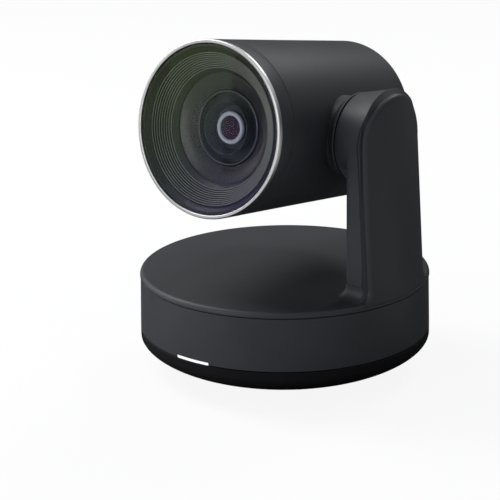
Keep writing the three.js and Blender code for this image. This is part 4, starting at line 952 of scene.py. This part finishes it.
def build_spacer_and_iris():
    inner = SECOND_RADIUS + LENS_GAP
    spacer = rounded([
        (inner, SPACER_FRONT), (TUBE_INNER, SPACER_FRONT), (TUBE_MOUTH - TUBE_BEVEL, TUBE_FRONT),
        (TUBE_MOUTH, TUBE_FRONT), (TUBE_OUTER, SPACER_FRONT), (LENS_EDGE_RADIUS, SPACER_FRONT),
        (LENS_EDGE_RADIUS, SPACER_BACK), (inner, SPACER_BACK),
    ], {2: TUBE_EDGE, 3: TUBE_EDGE})
    turned_on_lens("lens_spacer_fine", spacer, tube_black, "lens_spacer", slot="black")
    back = IRIS_DEPTH + WALL
    iris = rounded([
        (IRIS_OUTER, IRIS_DEPTH), (LENS_EDGE_RADIUS, IRIS_DEPTH), (LENS_EDGE_RADIUS, back),
        (IRIS_INNER, back), (IRIS_INNER, IRIS_DEPTH + WALL / 2),
    ], {0: 0.3 * mm, 4: 0.2 * mm})
    turned_on_lens("iris_plate_fine", iris, satin_black, "iris_plate", slot="satin_black")


def build_status_light():
    """The light pipe follows the round wall in its slot."""
    rings = []
    steps = 16
    inner = BASE_RADIUS - LIGHT_WALL
    outer = BASE_RADIUS - LIGHT_SET_BACK
    low = LOWER_SEAM - LIGHT_REACH
    high = LIGHT_HIGH[2]
    for k in range(steps + 1):
        x = LIGHT_LOW[0] + (LIGHT_HIGH[0] - LIGHT_LOW[0]) * k / steps
        near = -math.sqrt(inner ** 2 - x ** 2)
        far = -math.sqrt(outer ** 2 - x ** 2)
        rings.append([(x, near, low), (x, near, high), (x, far, high), (x, far, low)])
    mesh = loft_mesh("status_light_fine", rings)
    show("status_light_fine", mesh, lamp, "base", "status_light", slot="lamp")


build_bottom_shell()
build_base_shell()
build_foot_ring()
build_turntable_cover()
build_inner_cover()
build_head_shell()
build_tilt_boss()
build_collar_and_bezel()
build_rear_cap()
build_window()
build_baffle()
build_cone_and_ring()
build_front_lens()
build_second_lens()
build_spacer_and_iris()
build_status_light()


# Studio: a plain pale floor, soft boxes, dark cards and the camera of the reference view
WHITE = (1.0, 1.0, 1.0, 1.0)
FLOOR_COLOUR = (0.8, 0.8, 0.8, 1)
FLOOR_WHITENESS = 0.9
FLOOR_REACH = 4.0
FLOOR_DROP = 0.05 * mm
SKY_COLOUR = (0.80, 0.83, 0.88, 1)
SKY_STRENGTH = 0.35
CARD_COLOUR = (0.01, 0.01, 0.01, 1)
MATT = 0.9
OBJECT_MIDDLE = (0, 0, 0.1)
BOWL_MIDDLE = (0, 0, 0.04)
# Name, place, target, width and height in metres, watts, and whether the object mirrors it
LAMPS = (
    ("key", (-0.95, -0.15, 1.15), OBJECT_MIDDLE, 0.5, 1.1, 18, True),
    ("left_strip", (-1.6, -0.8, 0.35), OBJECT_MIDDLE, 0.35, 0.9, 5, True),
    ("top_back", (0.1, 1.0, 1.1), OBJECT_MIDDLE, 0.5, 0.3, 6, True),
    ("front_fill", (-0.36, -1.8, 0.4), OBJECT_MIDDLE, 0.5, 0.8, 9, True),
    ("low_strip", (-0.15, -0.29, 0.018), BOWL_MIDDLE, 0.18, 0.03, 0.3, False),
)
# Name, place, width and height in metres, and whether it lies flat
CARDS = (
    ("card_back", (-0.6, 1.5, 0.4), 3.0, 0.9, False),
    ("card_right", (1.5, 0.7, 0.5), 2.2, 1.1, False),
    ("card_front", (-0.62, -1.3, 0.1), 0.36, 0.7, False),
    ("card_floor", (-0.425, 0.556, 0.001), 1.6, 1.4, True),
    ("card_under", (0.03, -0.03, 0.0015), 0.32, 0.32, True),
)


def seen_rays(links):
    """One for the rays that show the background: to the camera, mirrored or through glass."""
    rays = add_node(links, "ShaderNodeLightPath")
    seen = rays.outputs["Is Camera Ray"]
    for name in ("Is Glossy Ray", "Is Transmission Ray"):
        both = add_node(links, "ShaderNodeMath", operation="MAXIMUM")
        links.links.new(seen, both.inputs[0])
        links.links.new(rays.outputs[name], both.inputs[1])
        seen = both.outputs["Value"]
    return seen


def pale_finish(name, colour, whiteness):
    """A pale surface that the lens sees nearly white, with the object's soft shadow kept."""
    material, links, shader = tree_of(name)
    shader.inputs["Base Color"].default_value = colour
    shader.inputs["Roughness"].default_value = MATT
    glow = add_node(links, "ShaderNodeEmission", Strength=1.0)
    glow.inputs["Color"].default_value = WHITE
    amount = add_node(links, "ShaderNodeMath", operation="MULTIPLY")
    amount.inputs[1].default_value = whiteness
    mix = add_node(links, "ShaderNodeMixShader")
    join = links.links.new
    join(seen_rays(links), amount.inputs[0])
    join(amount.outputs["Value"], mix.inputs["Fac"])
    join(shader.outputs["BSDF"], mix.inputs[1])
    join(glow.outputs["Emission"], mix.inputs[2])
    join(mix.outputs["Shader"], links.nodes["Material Output"].inputs["Surface"])
    return material


def build_floor():
    bm = bmesh.new()
    bmesh.ops.create_grid(bm, x_segments=1, y_segments=1, size=FLOOR_REACH)
    bmesh.ops.transform(bm, matrix=Matrix.Translation((0, 0, -FLOOR_DROP)), verts=bm.verts)
    mesh = finish_mesh(bm, "studio_floor")
    floor = make_object("studio_floor", mesh, pale_finish("floor", FLOOR_COLOUR, FLOOR_WHITENESS))


def build_world():
    world = bpy.data.worlds.new("studio")
    bpy.context.scene.world = world
    world.use_nodes = True
    links = world.node_tree
    back = links.nodes["Background"]
    back.inputs["Color"].default_value = SKY_COLOUR
    back.inputs["Strength"].default_value = SKY_STRENGTH
    white = add_node(links, "ShaderNodeBackground", Strength=1.0)
    white.inputs["Color"].default_value = WHITE
    mix = add_node(links, "ShaderNodeMixShader")
    join = links.links.new
    join(seen_rays(links), mix.inputs["Fac"])
    join(back.outputs["Background"], mix.inputs[1])
    join(white.outputs["Background"], mix.inputs[2])
    join(mix.outputs["Shader"], links.nodes["World Output"].inputs["Surface"])


def soft_box(name, place, target, width, height, power, mirrored):
    """A rectangular lamp that faces its target and doesn't show in the picture itself."""
    light = bpy.data.lights.new(name, "AREA")
    light.shape = "RECTANGLE"
    light.size = width
    light.size_y = height
    light.energy = power
    item = bpy.data.objects.new(name, light)
    item.location = place
    aim = Vector(target) - Vector(place)
    item.rotation_euler = aim.to_track_quat("-Z", "Y").to_euler()
    bpy.context.scene.collection.objects.link(item)
    item.visible_camera = False
    item.visible_glossy = mirrored


def dark_card(name, place, width, height, flat):
    """A black card that shows only as the object mirrors it, so that its far edges stay dark."""
    bm = bmesh.new()
    bmesh.ops.create_grid(bm, x_segments=1, y_segments=1, size=0.5)
    size = Matrix.Diagonal((width, height, 1, 1))
    turn = Matrix.Rotation(math.atan2(place[1], place[0]) - QUARTER, 4, "Z")
    stand = Matrix.Rotation(0 if flat else QUARTER, 4, "X")
    bmesh.ops.transform(bm, matrix=Matrix.Translation(place) @ turn @ stand @ size, verts=bm.verts)
    material, _, shader = tree_of(name)
    shader.inputs["Base Color"].default_value = CARD_COLOUR
    shader.inputs["Roughness"].default_value = MATT
    card = make_object(name, finish_mesh(bm, name), material)
    card.visible_camera = False
    card.visible_diffuse = False
    card.visible_shadow = False
    card.visible_transmission = False


# The reference view, as fitted to the outlines in the photo
PHOTO_SIZE = 500
PHOTO_AZIMUTH = math.radians(37.44)
PHOTO_ELEVATION = math.radians(17.48)
PHOTO_ROLL = math.radians(-0.756)
PHOTO_DISTANCE = 1020.55 * mm
PHOTO_TARGET = Vector((0, 0, 90 * mm))
PHOTO_SIDE = -17.96 * mm
PHOTO_RISE = -27.47 * mm
PHOTO_FOCAL_PIXELS = 1968.13
SENSOR_WIDTH = 36.0
CLIP_END = 20


def build_camera():
    back = Vector((
        math.sin(PHOTO_AZIMUTH) * math.cos(PHOTO_ELEVATION),
        -math.cos(PHOTO_AZIMUTH) * math.cos(PHOTO_ELEVATION), math.sin(PHOTO_ELEVATION),
    ))
    right = Vector((math.cos(PHOTO_AZIMUTH), math.sin(PHOTO_AZIMUTH), 0))
    up = back.cross(right)
    target = PHOTO_TARGET + right * PHOTO_SIDE + up * PHOTO_RISE
    turned_right = right * math.cos(PHOTO_ROLL) + up * math.sin(PHOTO_ROLL)
    turned_up = up * math.cos(PHOTO_ROLL) - right * math.sin(PHOTO_ROLL)
    data = bpy.data.cameras.new("camera")
    data.sensor_width = SENSOR_WIDTH
    data.lens = SENSOR_WIDTH * PHOTO_FOCAL_PIXELS / PHOTO_SIZE
    data.clip_end = CLIP_END
    item = bpy.data.objects.new("camera", data)
    turn = Matrix((turned_right, turned_up, back)).transposed().to_4x4()
    item.matrix_world = Matrix.Translation(target + back * PHOTO_DISTANCE) @ turn
    bpy.context.scene.collection.objects.link(item)
    bpy.context.scene.camera = item


build_floor()
build_world()
for lamp_values in LAMPS:
    soft_box(*lamp_values)
for card_values in CARDS:
    dark_card(*card_values)
build_camera()
bpy.context.scene.view_settings.view_transform = "Standard"
